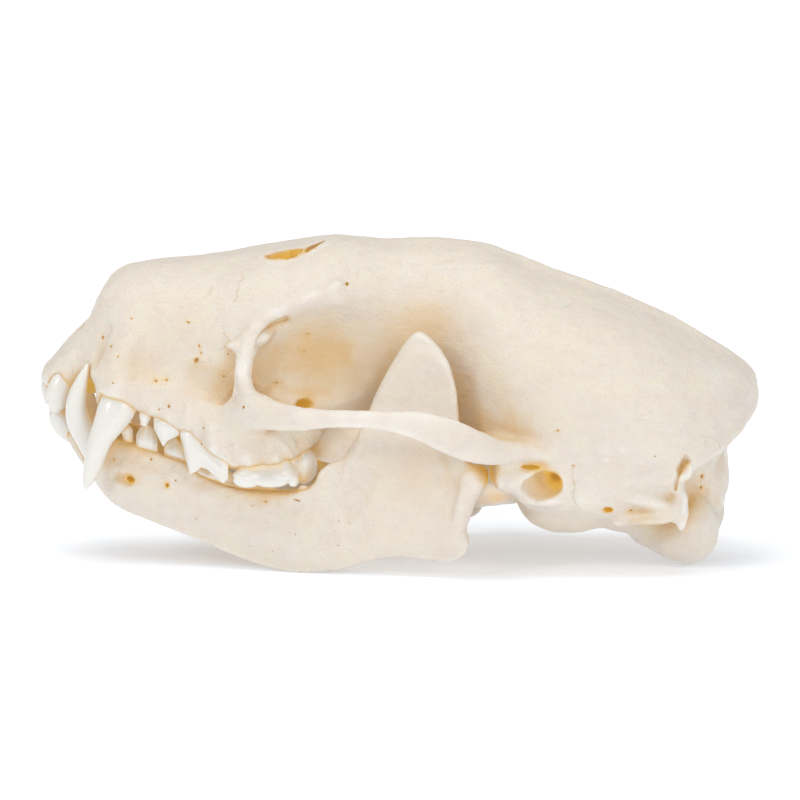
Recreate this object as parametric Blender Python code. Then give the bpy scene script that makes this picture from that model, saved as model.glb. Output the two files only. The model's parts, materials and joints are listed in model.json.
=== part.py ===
"""A cleaned striped skunk skull with its lower jaw in place, resting on a table.

All dimensions below are millimetres. X runs from the snout (-) to the back of the head (+),
Y from the animal's left (-) to its right (+), and Z up from the table.
The bones are lofted from stations, grown together, thinned out and then drilled:
sockets for the teeth, the brain cavity, the nose, the ear holes and the nerve holes.
"""
import math

import bmesh
import bpy
from mathutils import Matrix, Vector

MM = 0.001

# Driving dimensions of the skull.
SEAT_GAP = 0.3            # clear space all round a tooth in its socket
CRANIUM_GRAIN = 0.5       # size of the grains in which the cranium's lofts grow together
JAW_GRAIN = 0.38          # the same for the two halves of the jaw
CRANIUM_FACES = 2500      # before the holes and sockets are cut
JAW_FACES = 590
SIDES = {"left": 1, "right": -1}   # the stations are those of the left side


def clear_scene():
    for thing in list(bpy.data.objects):
        bpy.data.objects.remove(thing, do_unlink=True)


def material(name, colour, roughness):
    made = bpy.data.materials.new(name)
    made.use_nodes = True
    shader = made.node_tree.nodes["Principled BSDF"]
    shader.inputs["Base Color"].default_value = (*colour, 1.0)
    shader.inputs["Roughness"].default_value = roughness
    shader.inputs["Metallic"].default_value = 0.0
    return made


def softened(value, power):
    return math.copysign(abs(value) ** (2.0 / power), value)


def ring_points(centre, side, up, across, high, low, count, power):
    """Points of an oval, with its own reach upward and downward."""
    points = []
    for k in range(count):
        turn = 2.0 * math.pi * (k + 0.5) / count
        out = softened(math.cos(turn), power) * across
        rise = softened(math.sin(turn), power)
        rise *= high if rise > 0 else low
        points.append(centre + side * out + up * rise)
    return points


def skin(bm, rings):
    """Bridge a list of point rings into one closed body."""
    rows = []
    for points in rings:
        rows.append([bm.verts.new(p * MM) for p in points])
    count = len(rows[0])
    for lower, upper in zip(rows, rows[1:]):
        for k in range(count):
            after = (k + 1) % count
            bm.faces.new((lower[k], lower[after], upper[after], upper[k]))
    bm.faces.new(list(reversed(rows[0])))
    bm.faces.new(rows[-1])


def slices(bm, stations, count=20, power=2.3):
    """Upright slices along X: x, y, z of the widest line, half width, height above, depth below."""
    rings = []
    for x, y, z, across, high, low in stations:
        rings.append(ring_points(Vector((x, y, z)), Vector((0, 1, 0)), Vector((0, 0, 1)),
                                 across, high, low, count, power))
    skin(bm, rings)


def sweep(bm, stations, side=1, count=10, power=2.0, up=(0, 0, 1)):
    """A rod through x, y, z with half width across and half height, for one side of the head."""
    centres = [Vector((s[0], s[1] * side, s[2])) for s in stations]
    rings = []
    last = len(centres) - 1
    for k, station in enumerate(stations):
        along = (centres[min(k + 1, last)] - centres[max(k - 1, 0)]).normalized()
        across = along.cross(Vector(up)).normalized()
        rise = across.cross(along).normalized()
        rings.append(ring_points(centres[k], across, rise, station[3], station[4], station[4],
                                 count, power))
    skin(bm, rings)


def blob(bm, centre, radii, turn=0.0, rings=10):
    """An egg with its radii along X, Y and Z, turned about Y by some degrees."""
    placed = (Matrix.Translation(Vector(centre) * MM)
              @ Matrix.Rotation(math.radians(turn), 4, "Y")
              @ Matrix.Diagonal((*(Vector(radii) * MM), 1.0)))
    bmesh.ops.create_uvsphere(bm, u_segments=rings + 4, v_segments=rings, radius=1.0, matrix=placed)


def to_object(name, bm, surface=None):
    bmesh.ops.recalc_face_normals(bm, faces=bm.faces)
    mesh = bpy.data.meshes.new(name)
    bm.to_mesh(mesh)
    bm.free()
    made = bpy.data.objects.new(name, mesh)
    bpy.context.scene.collection.objects.link(made)
    if surface:
        mesh.materials.append(surface)
    return made


def bake_modifiers(thing):
    """Replace the mesh with what its modifiers make of it."""
    graph = bpy.context.evaluated_depsgraph_get()
    mesh = bpy.data.meshes.new_from_object(thing.evaluated_get(graph))
    old = thing.data
    thing.modifiers.clear()
    thing.data = mesh
    bpy.data.meshes.remove(old)


def grow_together(thing, grain, smoothing):
    """Make one bone of overlapping lofts, with its inner corners filled as bone fills them."""
    grown = thing.modifiers.new("grown together", "REMESH")
    grown.mode = "VOXEL"
    grown.voxel_size = grain * MM
    soft = thing.modifiers.new("softened", "SMOOTH")
    soft.factor = 0.5
    soft.iterations = smoothing
    bake_modifiers(thing)


def thin_out(thing, faces):
    fewer = thing.modifiers.new("fewer faces", "DECIMATE")
    fewer.decimate_type = "COLLAPSE"
    fewer.use_collapse_triangulate = True
    triangles = sum(len(p.vertices) - 2 for p in thing.data.polygons)
    fewer.ratio = min(1.0, faces / triangles)
    bake_modifiers(thing)


def cut(thing, tools):
    for tool in tools:
        taken = thing.modifiers.new(tool.name, "BOOLEAN")
        taken.operation = "DIFFERENCE"
        taken.solver = "EXACT"
        taken.use_self = True
        taken.object = tool
    bake_modifiers(thing)
    for tool in tools:
        bpy.data.objects.remove(tool, do_unlink=True)


# The upper bones: x, y, z of the widest line, half width, height above it, depth below it.
ROSTRUM = (
    (-37.7, 0, 18.6, 3.0, 0.9, 1.2),
    (-36.6, 0, 18.8, 4.2, 2.2, 1.8),
    (-34.4, 0, 19.0, 4.8, 5.0, 2.2),
    (-32.6, 0, 19.6, 5.1, 7.1, 2.8),
    (-31.4, 0, 20.0, 6.4, 8.6, 3.2),
    (-29.6, 0, 20.2, 8.4, 10.5, 3.3),
    (-27.0, 0, 20.0, 9.0, 11.3, 3.8),
    (-23.0, 0, 19.5, 9.3, 12.3, 4.4),
    (-19.0, 0, 19.0, 10.0, 13.2, 5.2),
    (-15.5, 0, 19.0, 11.0, 13.8, 6.0),
    (-11.0, 0, 19.4, 11.6, 14.1, 6.6),
    (-6.0, 0, 20.6, 11.3, 13.4, 8.0),
    (-2.0, 0, 22.0, 9.8, 11.9, 9.0),
)
BRAINCASE = (
    (-9.0, 0, 24.0, 8.2, 9.4, 8.0),
    (-4.0, 0, 23.4, 9.4, 10.3, 11.0),
    (1.0, 0, 21.5, 10.1, 12.2, 11.5),
    (6.0, 0, 19.4, 11.9, 13.8, 11.6),
    (10.5, 0, 17.6, 14.0, 14.6, 10.8),
    (15.0, 0, 16.2, 15.7, 13.8, 10.2),
    (20.0, 0, 15.4, 16.7, 12.8, 9.4),
    (25.0, 0, 15.0, 16.7, 11.2, 8.9),
    (29.5, 0, 14.8, 15.4, 9.2, 8.4),
    (32.6, 0, 14.8, 12.9, 7.4, 6.4),
    (34.8, 0, 15.6, 10.0, 5.2, 3.4),
    (36.4, 0, 16.4, 6.4, 3.3, 1.9),
)
CREST_LINE = (
    (-1.0, 0, 32.9, 2.2, 1.0),
    (5.0, 0, 32.9, 1.5, 1.0),
    (10.0, 0, 31.8, 1.2, 1.1),
    (15.0, 0, 29.7, 1.0, 1.2),
    (21.0, 0, 27.5, 0.9, 1.3),
    (28.0, 0, 24.3, 0.9, 1.4),
    (33.0, 0, 21.4, 1.1, 1.5),
    (36.0, 0, 18.6, 1.8, 1.7),
)
LAMBDOID = (
    (36.0, 1.5, 16.6, 1.7, 1.7),
    (36.0, -2.0, 15.9, 1.8, 1.5),
    (35.0, -6.5, 14.6, 1.8, 1.25),
    (33.2, -10.5, 13.2, 1.8, 1.1),
    (31.0, -13.6, 11.6, 1.6, 1.1),
    (29.6, -15.2, 9.6, 1.4, 1.1),
)
CHEEK_ARCH = (
    (-17.6, -10.6, 15.6, 1.9, 2.5),
    (-14.6, -14.0, 16.9, 1.8, 2.5),
    (-11.6, -17.0, 16.8, 1.35, 1.8),
    (-8.2, -19.4, 16.9, 1.05, 1.15),
    (-4.0, -21.2, 17.6, 0.95, 0.95),
    (0.2, -22.0, 18.0, 0.95, 1.0),
    (3.8, -22.2, 17.5, 1.0, 1.2),
    (6.6, -21.6, 16.1, 1.2, 1.4),
    (9.2, -19.9, 14.1, 1.5, 1.55),
    (11.6, -17.4, 13.1, 1.8, 1.3),
    (14.6, -15.2, 13.0, 1.8, 1.0),
)
STRUT = (
    (-14.6, -9.8, 25.2, 1.1, 1.5),
    (-15.6, -11.5, 23.6, 1.1, 1.3),
    (-15.8, -12.8, 21.0, 1.05, 1.3),
    (-15.6, -13.6, 18.6, 1.2, 1.5),
    (-14.8, -14.0, 16.6, 1.8, 2.2),
)
ORBIT_RIM = (
    (-15.6, -11.2, 23.9, 0.95, 1.0),
    (-13.2, -11.5, 25.5, 0.9, 0.9),
    (-10.0, -11.5, 27.1, 0.85, 0.85),
    (-6.8, -10.9, 28.6, 0.9, 0.85),
    (-4.6, -9.8, 29.6, 1.1, 0.8),
    (-3.0, -8.4, 30.4, 0.8, 0.7),
)


def head_core(bm):
    slices(bm, ROSTRUM, count=24)
    slices(bm, BRAINCASE, count=28, power=2.15)
    sweep(bm, CREST_LINE, count=8)
    # Base of the skull between the ears, and the plate over the great hole.
    slices(bm, ((2.0, 0, 10.4, 4.2, 3.0, 1.6), (9.0, 0, 8.6, 4.8, 3.0, 1.9),
                (16.0, 0, 7.2, 6.0, 3.0, 1.9), (23.0, 0, 5.8, 6.6, 3.0, 1.7),
                (28.0, 0, 4.6, 6.2, 3.0, 1.7)), count=12)
    blob(bm, (31.2, 0, 10.8), (3.0, 6.4, 4.8))


def eye_socket(bm, side):
    """The hollow that the eye and the front of the chewing muscle lie in."""
    blob(bm, (-6.4, -15.6 * side, 21.6), (8.7, 7.2, 7.4), rings=16)


def jaw_muscle_hollow(bm, side):
    """The waist of the skull behind the eye, where the jaw's blade passes."""
    blob(bm, (1.6, -17.4 * side, 19.0), (8.0, 7.9, 9.5), rings=16)


def side_bones(bm, side):
    sweep(bm, LAMBDOID, side, up=(0.2, 0, 1))
    sweep(bm, CHEEK_ARCH, side)
    sweep(bm, STRUT, side, up=(1, 0, 0))
    sweep(bm, ORBIT_RIM, side)
    # The canine's root swells the side of the snout.
    sweep(bm, ((-29.4, -8.5, 16.9, 2.0, 2.1), (-28.8, -8.2, 19.4, 2.1, 2.5),
               (-27.4, -7.8, 22.6, 1.8, 2.2), (-25.6, -7.3, 25.2, 1.2, 1.5)), side, up=(1, 0, 0))
    # Bone over the roots of the front and cheek teeth, down to the edge of the sockets.
    sweep(bm, ((-36.4, -2.6, 18.4, 1.2, 1.1), (-34.6, -3.6, 18.4, 1.3, 1.2),
               (-32.6, -3.9, 18.2, 1.3, 1.1)), side)
    sweep(bm, ((-31.0, -7.2, 18.6, 1.6, 1.4), (-29.2, -8.0, 17.9, 2.2, 1.9),
               (-27.0, -8.4, 17.3, 2.1, 2.2), (-23.6, -9.1, 16.1, 2.1, 2.5),
               (-20.0, -10.2, 14.4, 2.1, 2.8), (-16.6, -11.6, 13.5, 2.4, 3.0),
               (-13.0, -11.2, 13.1, 3.0, 2.5), (-10.4, -10.6, 13.8, 2.5, 1.9),
               (-8.6, -9.4, 14.2, 1.7, 1.4)), side, count=12, power=2.6)
    # Side wall of the hind palate and the pterygoid blade that hangs behind it.
    sweep(bm, ((-8.0, -7.0, 13.0, 1.6, 2.4), (-3.0, -4.6, 11.6, 1.0, 2.6),
               (2.0, -4.0, 10.0, 0.9, 2.6), (6.5, -4.2, 8.2, 0.8, 1.9),
               (10.6, -4.8, 6.4, 0.7, 0.8)), side)
    # Roof of the jaw joint, and the lip that hooks down behind the condyle.
    sweep(bm, ((10.9, -10.6, 13.4, 1.9, 1.2), (10.9, -15.0, 13.4, 2.1, 1.0),
               (10.2, -19.4, 13.8, 1.8, 0.9)), side)
    sweep(bm, ((12.4, -12.4, 11.4, 1.1, 1.3), (12.4, -15.6, 10.7, 1.1, 1.6),
               (12.0, -18.4, 11.7, 1.0, 1.4)), side, up=(0, 0, 1))
    # Ear: the bony tube, the swelling below it and the ridge above it.
    sweep(bm, ((15.8, -9.0, 9.6, 3.0, 2.4), (15.9, -13.6, 9.3, 2.9, 2.4),
               (15.9, -16.2, 9.2, 2.7, 2.3)), side, up=(0, 0, 1))
    blob(bm, (17.4, -8.8 * side, 7.4), (4.8, 4.6, 4.1), 10)
    blob(bm, (21.4, -12.6 * side, 8.6), (4.6, 4.4, 3.4), 5)
    sweep(bm, ((10.2, -18.6, 14.2, 1.2, 0.8), (13.8, -16.6, 13.0, 1.2, 0.8),
               (17.4, -16.0, 12.6, 1.0, 0.7)), side)
    # Mastoid, from behind the ear hole to the spike beside the condyle.
    sweep(bm, ((18.8, -15.4, 8.6, 1.9, 2.0), (20.6, -15.9, 8.4, 1.9, 2.3),
               (24.0, -16.0, 8.9, 1.8, 2.0), (27.0, -15.6, 9.0, 1.7, 1.9),
               (29.4, -14.4, 9.0, 1.5, 1.9)), side)
    sweep(bm, ((28.6, -13.4, 10.4, 2.0, 1.6), (29.8, -13.0, 8.2, 1.5, 1.2),
               (30.4, -12.4, 6.2, 1.0, 0.8), (30.6, -12.0, 4.6, 0.6, 0.5)), side, up=(1, 0, 0))
    # Occipital condyle, a thick curved bulb beside the great hole.
    blob(bm, (30.2, -6.4 * side, 4.15), (3.2, 2.8, 4.7), -12)
    blob(bm, (28.0, -5.6 * side, 3.7), (3.1, 2.7, 3.4), 20)


def brain_cavity(bm):
    """The hollow for the brain, with the great hole behind it."""
    slices(bm, ((41.0, 0, 6.4, 4.2, 3.7, 3.7), (32.0, 0, 7.2, 4.2, 3.7, 3.7),
                (28.0, 0, 11.0, 8.0, 6.6, 4.4), (21.0, 0, 15.6, 13.4, 9.8, 6.8),
                (12.0, 0, 18.0, 11.8, 10.8, 7.6), (3.0, 0, 22.0, 8.0, 8.4, 6.8),
                (-3.6, 0, 24.2, 3.4, 3.4, 3.0)), count=12, power=2.0)


def nose(bm):
    sweep(bm, ((-38.0, 0, 28.6, 3.8, 4.1), (-33.2, 0, 25.8, 3.8, 4.1), (-29.0, 0, 24.6, 3.6, 4.1),
               (-24.0, 0, 24.0, 3.0, 3.2), (-19.0, 0, 24.0, 1.8, 2.0)), count=12)


def ear_and_nerve_holes(bm, side):
    sweep(bm, ((16.2, -20.0, 9.0, 1.9, 1.5), (15.9, -16.0, 9.3, 1.8, 1.45),
               (15.6, -13.6, 9.6, 1.2, 0.9)), side, up=(0, 0, 1))
    sweep(bm, ((-20.6, -13.4, 19.4, 1.1, 1.2), (-17.4, -11.6, 18.9, 1.1, 1.2),
               (-12.6, -10.9, 18.6, 1.1, 1.2)), side, count=8)
    sweep(bm, ((-9.4, -12.0, 17.6, 0.8, 0.6), (-10.6, -8.6, 17.2, 0.7, 0.55),
               (-12.4, -7.2, 17.0, 0.5, 0.4)), side, count=6)


def broken_sinus(bm):
    """Two holes worn through the thin bone over the left frontal sinus."""
    sweep(bm, ((-14.3, -4.6, 32.0, 0.4, 1.0), (-13.0, -4.8, 32.0, 0.95, 1.6),
               (-11.4, -4.7, 32.2, 1.0, 1.6), (-10.2, -4.5, 32.4, 0.4, 1.0)), count=6)
    sweep(bm, ((-9.9, -4.6, 32.4, 0.25, 1.0), (-9.0, -3.1, 32.7, 0.5, 1.2),
               (-8.2, -1.9, 33.0, 0.25, 1.0)), count=6)


# Jaw, seen from the side: from the chin, under, up the back, over the blade and along the sockets.
JAW_UNDER = (
    (-35.3, 13.6), (-34.9, 12.2), (-33.7, 9.9), (-32.1, 7.6), (-29.3, 5.5), (-27.2, 4.3),
    (-23.8, 3.5), (-20.6, 2.4), (-15.2, 0.5), (-11.0, -0.4), (-7.8, -0.3), (-4.6, 0.3),
    (-0.8, 1.5), (2.9, 1.5), (5.2, 1.3), (7.2, 1.8), (8.1, 3.2),
)
JAW_BACK = (
    (7.6, 5.0), (7.8, 6.4), (8.8, 7.8), (9.4, 9.2), (8.2, 11.4), (7.3, 13.4), (7.0, 16.4),
    (6.7, 19.0), (6.1, 21.6), (5.2, 23.2), (4.0, 24.3), (2.7, 25.5), (1.3, 24.1),
    (0.1, 22.2), (-1.1, 19.8), (-1.9, 17.9), (-2.6, 15.9), (-3.8, 13.2), (-5.2, 10.8),
)
JAW_SOCKETS = (
    (-7.4, 8.6), (-12.0, 8.1), (-16.8, 8.0), (-19.6, 9.2), (-22.4, 11.2),
    (-26.2, 12.5), (-29.4, 12.9), (-31.4, 12.9), (-33.4, 13.4),
)


def jaw_bow(x):
    """How far the jaw stands from the midline at x."""
    if x < -31.0:
        return 4.6 + (x + 31.0) * 0.58
    if x < -8.0:
        return 4.6 + (x + 31.0) * 0.33
    return min(12.2 + (x + 8.0) * 0.22, 15.6)


def blade_half(x):
    """Half the jaw's thickness at x: stout under the teeth, thin in the blade."""
    return 1.15 + 0.6 * min(max((-6.0 - x) / 6.0, 0.0), 1.0)


def jaw_half(name, side, surface):
    bm = bmesh.new()
    flat = [bm.verts.new(Vector((x, -blade_half(x), z)) * MM)
            for x, z in JAW_UNDER + JAW_BACK + JAW_SOCKETS]
    face = bm.faces.new(flat)
    out = bmesh.ops.extrude_face_region(bm, geom=[face])
    for part in out["geom"]:
        if isinstance(part, bmesh.types.BMVert):
            part.co.y = -part.co.y
    # The body swells below the sockets, most of all at the chin.
    sweep(bm, ((-33.6, 0.2, 11.2, 1.6, 2.4), (-31.0, 0.3, 9.4, 2.3, 3.0), (-27.6, 0, 8.0, 2.4, 3.6),
               (-23.0, 0, 7.0, 2.2, 3.6), (-18.0, 0, 5.2, 2.2, 3.4), (-12.0, 0, 3.8, 2.2, 3.8),
               (-6.0, 0, 4.0, 2.0, 3.8), (0.0, 0, 3.8, 1.6, 2.1), (5.6, 0, 3.2, 1.3, 1.6)))
    # Thickened front edge of the blade, and the ridge down its back edge.
    sweep(bm, ((-6.2, -0.3, 8.0, 1.6, 1.3), (-4.0, -0.5, 11.6, 1.5, 1.2), (-1.8, -0.5, 16.0, 1.4, 1.1),
               (0.2, -0.3, 20.6, 1.3, 1.0), (2.6, 0.0, 23.8, 1.2, 1.0)), up=(1, 0, 0))
    sweep(bm, ((8.4, 0, 10.6, 1.4, 1.0), (7.6, 0, 8.0, 1.4, 1.0), (6.8, 0, 5.6, 1.3, 1.1),
               (6.4, 0, 3.2, 1.3, 1.3)), up=(1, 0, 0))
    made = to_object(name, bm, surface)
    grow_together(made, JAW_GRAIN, 4)
    for vert in made.data.vertices:
        x, y, z = vert.co / MM
        # The chewing muscle's hollow on the outer face of the blade.
        hollow = math.exp(-((x - 3.2) / 5.0) ** 2 - ((z - 9.6) / 6.5) ** 2)
        if y < 0:
            y += 0.75 * hollow
        lean = 0.05 * max(z - 12.0, 0.0)
        vert.co.y = (y - jaw_bow(x) + lean) * side * MM
    bm = bmesh.new()
    bm.from_mesh(made.data)
    bpy.data.objects.remove(made, do_unlink=True)
    # The condyle is a roller across the back of the jaw.
    sweep(bm, ((9.2, -12.4, 10.0, 1.2, 1.1), (9.3, -14.2, 10.0, 1.45, 1.45),
               (9.3, -17.4, 10.0, 1.45, 1.45), (9.1, -19.2, 9.9, 1.1, 1.1)), side, count=14)
    made = to_object(name, bm, surface)
    grow_together(made, JAW_GRAIN, 2)
    return made


def nerve_holes_of_jaw(bm, side):
    sweep(bm, ((-28.4, -9.8, 8.6, 0.55, 0.5), (-27.6, -6.6, 8.2, 0.5, 0.45),
               (-26.8, -5.8, 8.0, 0.35, 0.3)), side, count=6)
    sweep(bm, ((-24.2, -10.6, 8.0, 0.4, 0.35), (-24.0, -8.2, 7.8, 0.35, 0.3),
               (-23.8, -7.6, 7.6, 0.25, 0.2)), side, count=6)


# Teeth. Pegs run from root to tip: x, y, z, half width, half length along the jaw.
PEGS = {
    "upper_incisor_1": ((-35.6, -0.8, 20.6, 0.35, 0.45), (-36.7, -0.8, 18.2, 0.5, 0.7),
                        (-37.1, -0.8, 16.8, 0.52, 0.6), (-37.0, -0.8, 15.9, 0.4, 0.25)),
    "upper_incisor_2": ((-35.4, -2.2, 20.6, 0.35, 0.45), (-36.4, -2.25, 18.2, 0.5, 0.7),
                        (-36.8, -2.3, 16.6, 0.55, 0.62), (-36.7, -2.3, 15.7, 0.4, 0.25)),
    "upper_incisor_3": ((-34.5, -3.5, 20.8, 0.5, 0.55), (-35.5, -3.75, 18.2, 0.7, 0.85),
                        (-36.0, -3.9, 16.9, 0.72, 0.9), (-36.1, -3.9, 15.6, 0.4, 0.4)),
    "upper_canine": ((-26.6, -7.0, 22.4, 0.6, 0.7), (-27.8, -7.8, 19.6, 1.15, 1.4),
                     (-28.9, -8.6, 16.9, 1.4, 1.8), (-30.2, -9.0, 14.2, 1.2, 1.5),
                     (-31.2, -9.3, 11.8, 0.95, 1.1), (-32.0, -9.4, 9.6, 0.65, 0.7),
                     (-32.6, -9.4, 7.9, 0.25, 0.28)),
    "upper_premolar_2": ((-26.0, -8.4, 17.6, 0.35, 0.35), (-26.2, -8.5, 15.9, 0.5, 0.55),
                         (-26.3, -8.5, 15.2, 0.5, 0.6), (-26.4, -8.5, 14.6, 0.25, 0.3)),
    "lower_incisor_1": ((-33.9, -0.75, 12.2, 0.3, 0.4), (-34.9, -0.75, 13.8, 0.42, 0.55),
                        (-35.5, -0.75, 15.4, 0.42, 0.3)),
    "lower_incisor_2": ((-33.7, -1.9, 12.2, 0.3, 0.4), (-34.7, -1.95, 13.8, 0.42, 0.55),
                        (-35.3, -2.0, 15.4, 0.45, 0.3)),
    "lower_incisor_3": ((-33.4, -3.0, 12.0, 0.35, 0.4), (-34.3, -3.25, 13.8, 0.5, 0.6),
                        (-34.8, -3.4, 15.5, 0.5, 0.35)),
    "lower_canine": ((-30.6, -4.4, 8.6, 0.7, 0.8), (-32.2, -5.0, 11.2, 1.1, 1.2),
                     (-33.2, -5.6, 13.4, 1.15, 1.35), (-33.8, -6.2, 15.8, 1.05, 1.15),
                     (-33.7, -6.6, 18.0, 0.75, 0.8), (-33.1, -6.7, 19.6, 0.45, 0.5),
                     (-32.6, -6.7, 20.5, 0.2, 0.22)),
    "lower_premolar_2": ((-28.0, -6.1, 11.0, 0.35, 0.35), (-28.2, -6.2, 12.9, 0.5, 0.55),
                         (-28.3, -6.3, 13.6, 0.5, 0.6), (-28.4, -6.3, 14.2, 0.25, 0.3)),
    "lower_molar_2": ((-9.4, -11.5, 6.6, 0.5, 0.5), (-9.5, -11.5, 7.8, 0.7, 0.8),
                      (-9.5, -11.5, 8.2, 0.8, 0.9), (-9.5, -11.5, 8.5, 0.5, 0.6)),
}
# Blades: y at the front and back, root level, neck at the front and back, then x, tip, half width.
BLADES = {
    "upper_premolar_3": (-9.0, -9.8, 16.4, 15.0, 14.0,
                         ((-25.4, 14.1, 0.45), (-25.0, 13.8, 0.65), (-24.3, 12.3, 0.75),
                          (-23.5, 13.4, 0.75), (-22.7, 13.4, 0.5))),
    "upper_carnassial": (-10.3, -12.0, 14.6, 13.7, 10.7,
                         ((-22.5, 13.0, 0.5), (-22.0, 12.4, 0.8), (-21.3, 9.7, 1.0),
                          (-20.0, 10.5, 0.9), (-18.6, 9.9, 0.85), (-17.6, 9.1, 0.7),
                          (-17.2, 9.9, 0.45))),
    "lower_premolar_3": (-6.9, -7.3, 10.6, 12.6, 12.0,
                         ((-27.2, 13.0, 0.45), (-26.7, 13.7, 0.7), (-26.1, 14.4, 0.75),
                          (-25.4, 13.6, 0.7), (-24.9, 12.8, 0.45))),
    "lower_premolar_4": (-7.5, -8.1, 9.4, 11.6, 10.9,
                         ((-24.3, 12.0, 0.45), (-23.7, 12.5, 0.7), (-23.1, 13.1, 0.75),
                          (-22.4, 12.2, 0.7), (-21.8, 11.4, 0.45))),
    "lower_carnassial": (-8.7, -11.0, 6.2, 9.8, 8.2,
                         ((-21.3, 10.4, 0.5), (-20.6, 11.0, 0.8), (-19.6, 10.4, 0.9),
                          (-18.4, 11.2, 0.95), (-17.6, 9.2, 0.95), (-14.6, 8.4, 1.0),
                          (-12.0, 8.4, 0.95), (-11.4, 8.3, 0.6))),
}
# The upper molar is wide and low: its plan, then level, rise toward the palate, and spread.
MOLAR_PLAN = (
    (-16.8, -12.7), (-15.6, -13.3), (-13.5, -13.0), (-11.2, -13.4), (-10.2, -12.6), (-9.8, -10.8),
    (-8.4, -9.4), (-8.7, -7.6), (-10.4, -6.7), (-12.8, -6.9), (-14.8, -8.2), (-15.8, -10.4),
)
MOLAR_LEVELS = ((13.2, 0.15, 0.55), (11.0, 0.2, 0.82), (10.3, 0.2, 0.97), (9.3, 0.03, 1.0),
                (8.8, 0.0, 0.86), (9.3, 0.0, 0.5))
MOLAR_CENTRE = (-12.6, -10.2)
TEETH = (*PEGS, *BLADES, "upper_molar_1")
PEG_SIDES = {"upper_canine": 10, "lower_canine": 10, "lower_molar_2": 8}


def peg(bm, name, side, clear=0.0):
    stations = [list(s) for s in PEGS[name]]
    for end, inner in ((0, 1), (-1, -2)):
        way = Vector(stations[end][:3]) - Vector(stations[inner][:3])
        step = way.normalized() * clear
        for axis in range(3):
            stations[end][axis] += step[axis]
    stations = [(x, y, z, wide + clear, long + clear) for x, y, z, wide, long in stations]
    sweep(bm, stations, side, count=PEG_SIDES.get(name, 6), up=(1, 0, 0))


def blade(bm, name, side, clear=0.0):
    front_y, back_y, root, front_neck, back_neck, stations = BLADES[name]
    first, last = stations[0][0], stations[-1][0]
    down = 1.0 if root < front_neck else -1.0
    rings = []
    for x, tip, half in stations:
        along = (x - first) / (last - first)
        y = front_y + (back_y - front_y) * along
        neck = front_neck + (back_neck - front_neck) * along
        belly = neck + 0.35 * (tip - neck)
        if x == first:
            x -= clear
        if x == last:
            x += clear
        levels = ((root - down * clear, 0.5 * half), (neck, 0.8 * half), (belly, half),
                  (tip + down * clear, 0.2 * half))
        outer = [Vector((x, (y - reach - clear) * side, z)) for z, reach in levels]
        inner = [Vector((x, (y + reach + clear) * side, z)) for z, reach in reversed(levels)]
        rings.append(outer + inner)
    skin(bm, rings)


def molar(bm, side, clear=0.0):
    middle_x, middle_y = MOLAR_CENTRE
    rings = []
    levels = MOLAR_LEVELS[:-1] if clear else MOLAR_LEVELS
    for k, (level, rise, spread) in enumerate(levels):
        points = []
        for x, y in MOLAR_PLAN:
            out = Vector((x - middle_x, y - middle_y)) * spread
            out += out.normalized() * clear
            z = level + rise * (y - MOLAR_PLAN[0][1])
            if k == 0:
                z += clear
            if k == len(levels) - 1:
                z -= clear
            points.append(Vector((middle_x + out.x, (middle_y + out.y) * side, z)))
        rings.append(points)
    skin(bm, rings)


def tooth(bm, name, side, clear=0.0):
    """One tooth, or the room for it in its socket where some clear space is asked for."""
    if name in PEGS:
        peg(bm, name, side, clear)
    elif name in BLADES:
        blade(bm, name, side, clear)
    else:
        molar(bm, side, clear)


def place_on_table():
    """Put the middle of the skull's footprint at the origin, with the table at z = 0."""
    bones = [thing for thing in bpy.context.scene.objects if thing.type == "MESH"]
    points = [vert.co for thing in bones for vert in thing.data.vertices]
    low = Vector([min(p[axis] for p in points) for axis in range(3)])
    high = Vector([max(p[axis] for p in points) for axis in range(3)])
    shift = Vector(((low.x + high.x) / 2.0, (low.y + high.y) / 2.0, low.z))
    for thing in bones:
        thing.data.transform(Matrix.Translation(-shift))


def cutter(make, *sides):
    """An object for a Boolean from one of the functions above, on one or both sides."""
    bm = bmesh.new()
    for side in sides:
        make(bm, side)
    if not sides:
        make(bm)
    return to_object(make.__name__.replace("_", " "), bm)


def sockets(row, *sides):
    """Room for each tooth of the upper or lower row."""
    return [cutter(lambda bm, side, name=name: tooth(bm, name, side, SEAT_GAP), *sides)
            for name in TEETH if name.startswith(row)]


def build_cranium(bone):
    bm = bmesh.new()
    head_core(bm)
    core = to_object("head core", bm, bone)
    grow_together(core, CRANIUM_GRAIN, 4)
    cut(core, [cutter(eye_socket, *SIDES.values()), cutter(jaw_muscle_hollow, *SIDES.values())])
    bm = bmesh.new()
    bm.from_mesh(core.data)
    bpy.data.objects.remove(core, do_unlink=True)
    for side in SIDES.values():
        side_bones(bm, side)
    cranium = to_object("cranium", bm, bone)
    grow_together(cranium, CRANIUM_GRAIN, 5)
    thin_out(cranium, CRANIUM_FACES)
    cut(cranium, [cutter(brain_cavity), cutter(nose), cutter(broken_sinus),
                  cutter(ear_and_nerve_holes, *SIDES.values())]
        + sockets("upper", *SIDES.values()))


def build_jaw(word, side, bone):
    half = jaw_half(word + "_jaw", side, bone)
    thin_out(half, JAW_FACES)
    cut(half, [cutter(nerve_holes_of_jaw, side)] + sockets("lower", side))


def build_teeth(word, side, enamel):
    for name in TEETH:
        bm = bmesh.new()
        tooth(bm, name, side)
        to_object(word + "_" + name, bm, enamel)


def main():
    clear_scene()
    bone = material("bone", (0.79, 0.71, 0.60), 0.5)
    enamel = material("tooth enamel", (0.84, 0.82, 0.76), 0.18)
    build_cranium(bone)
    for word, side in SIDES.items():
        build_jaw(word, side, bone)
        build_teeth(word, side, enamel)
    place_on_table()


main()
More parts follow.
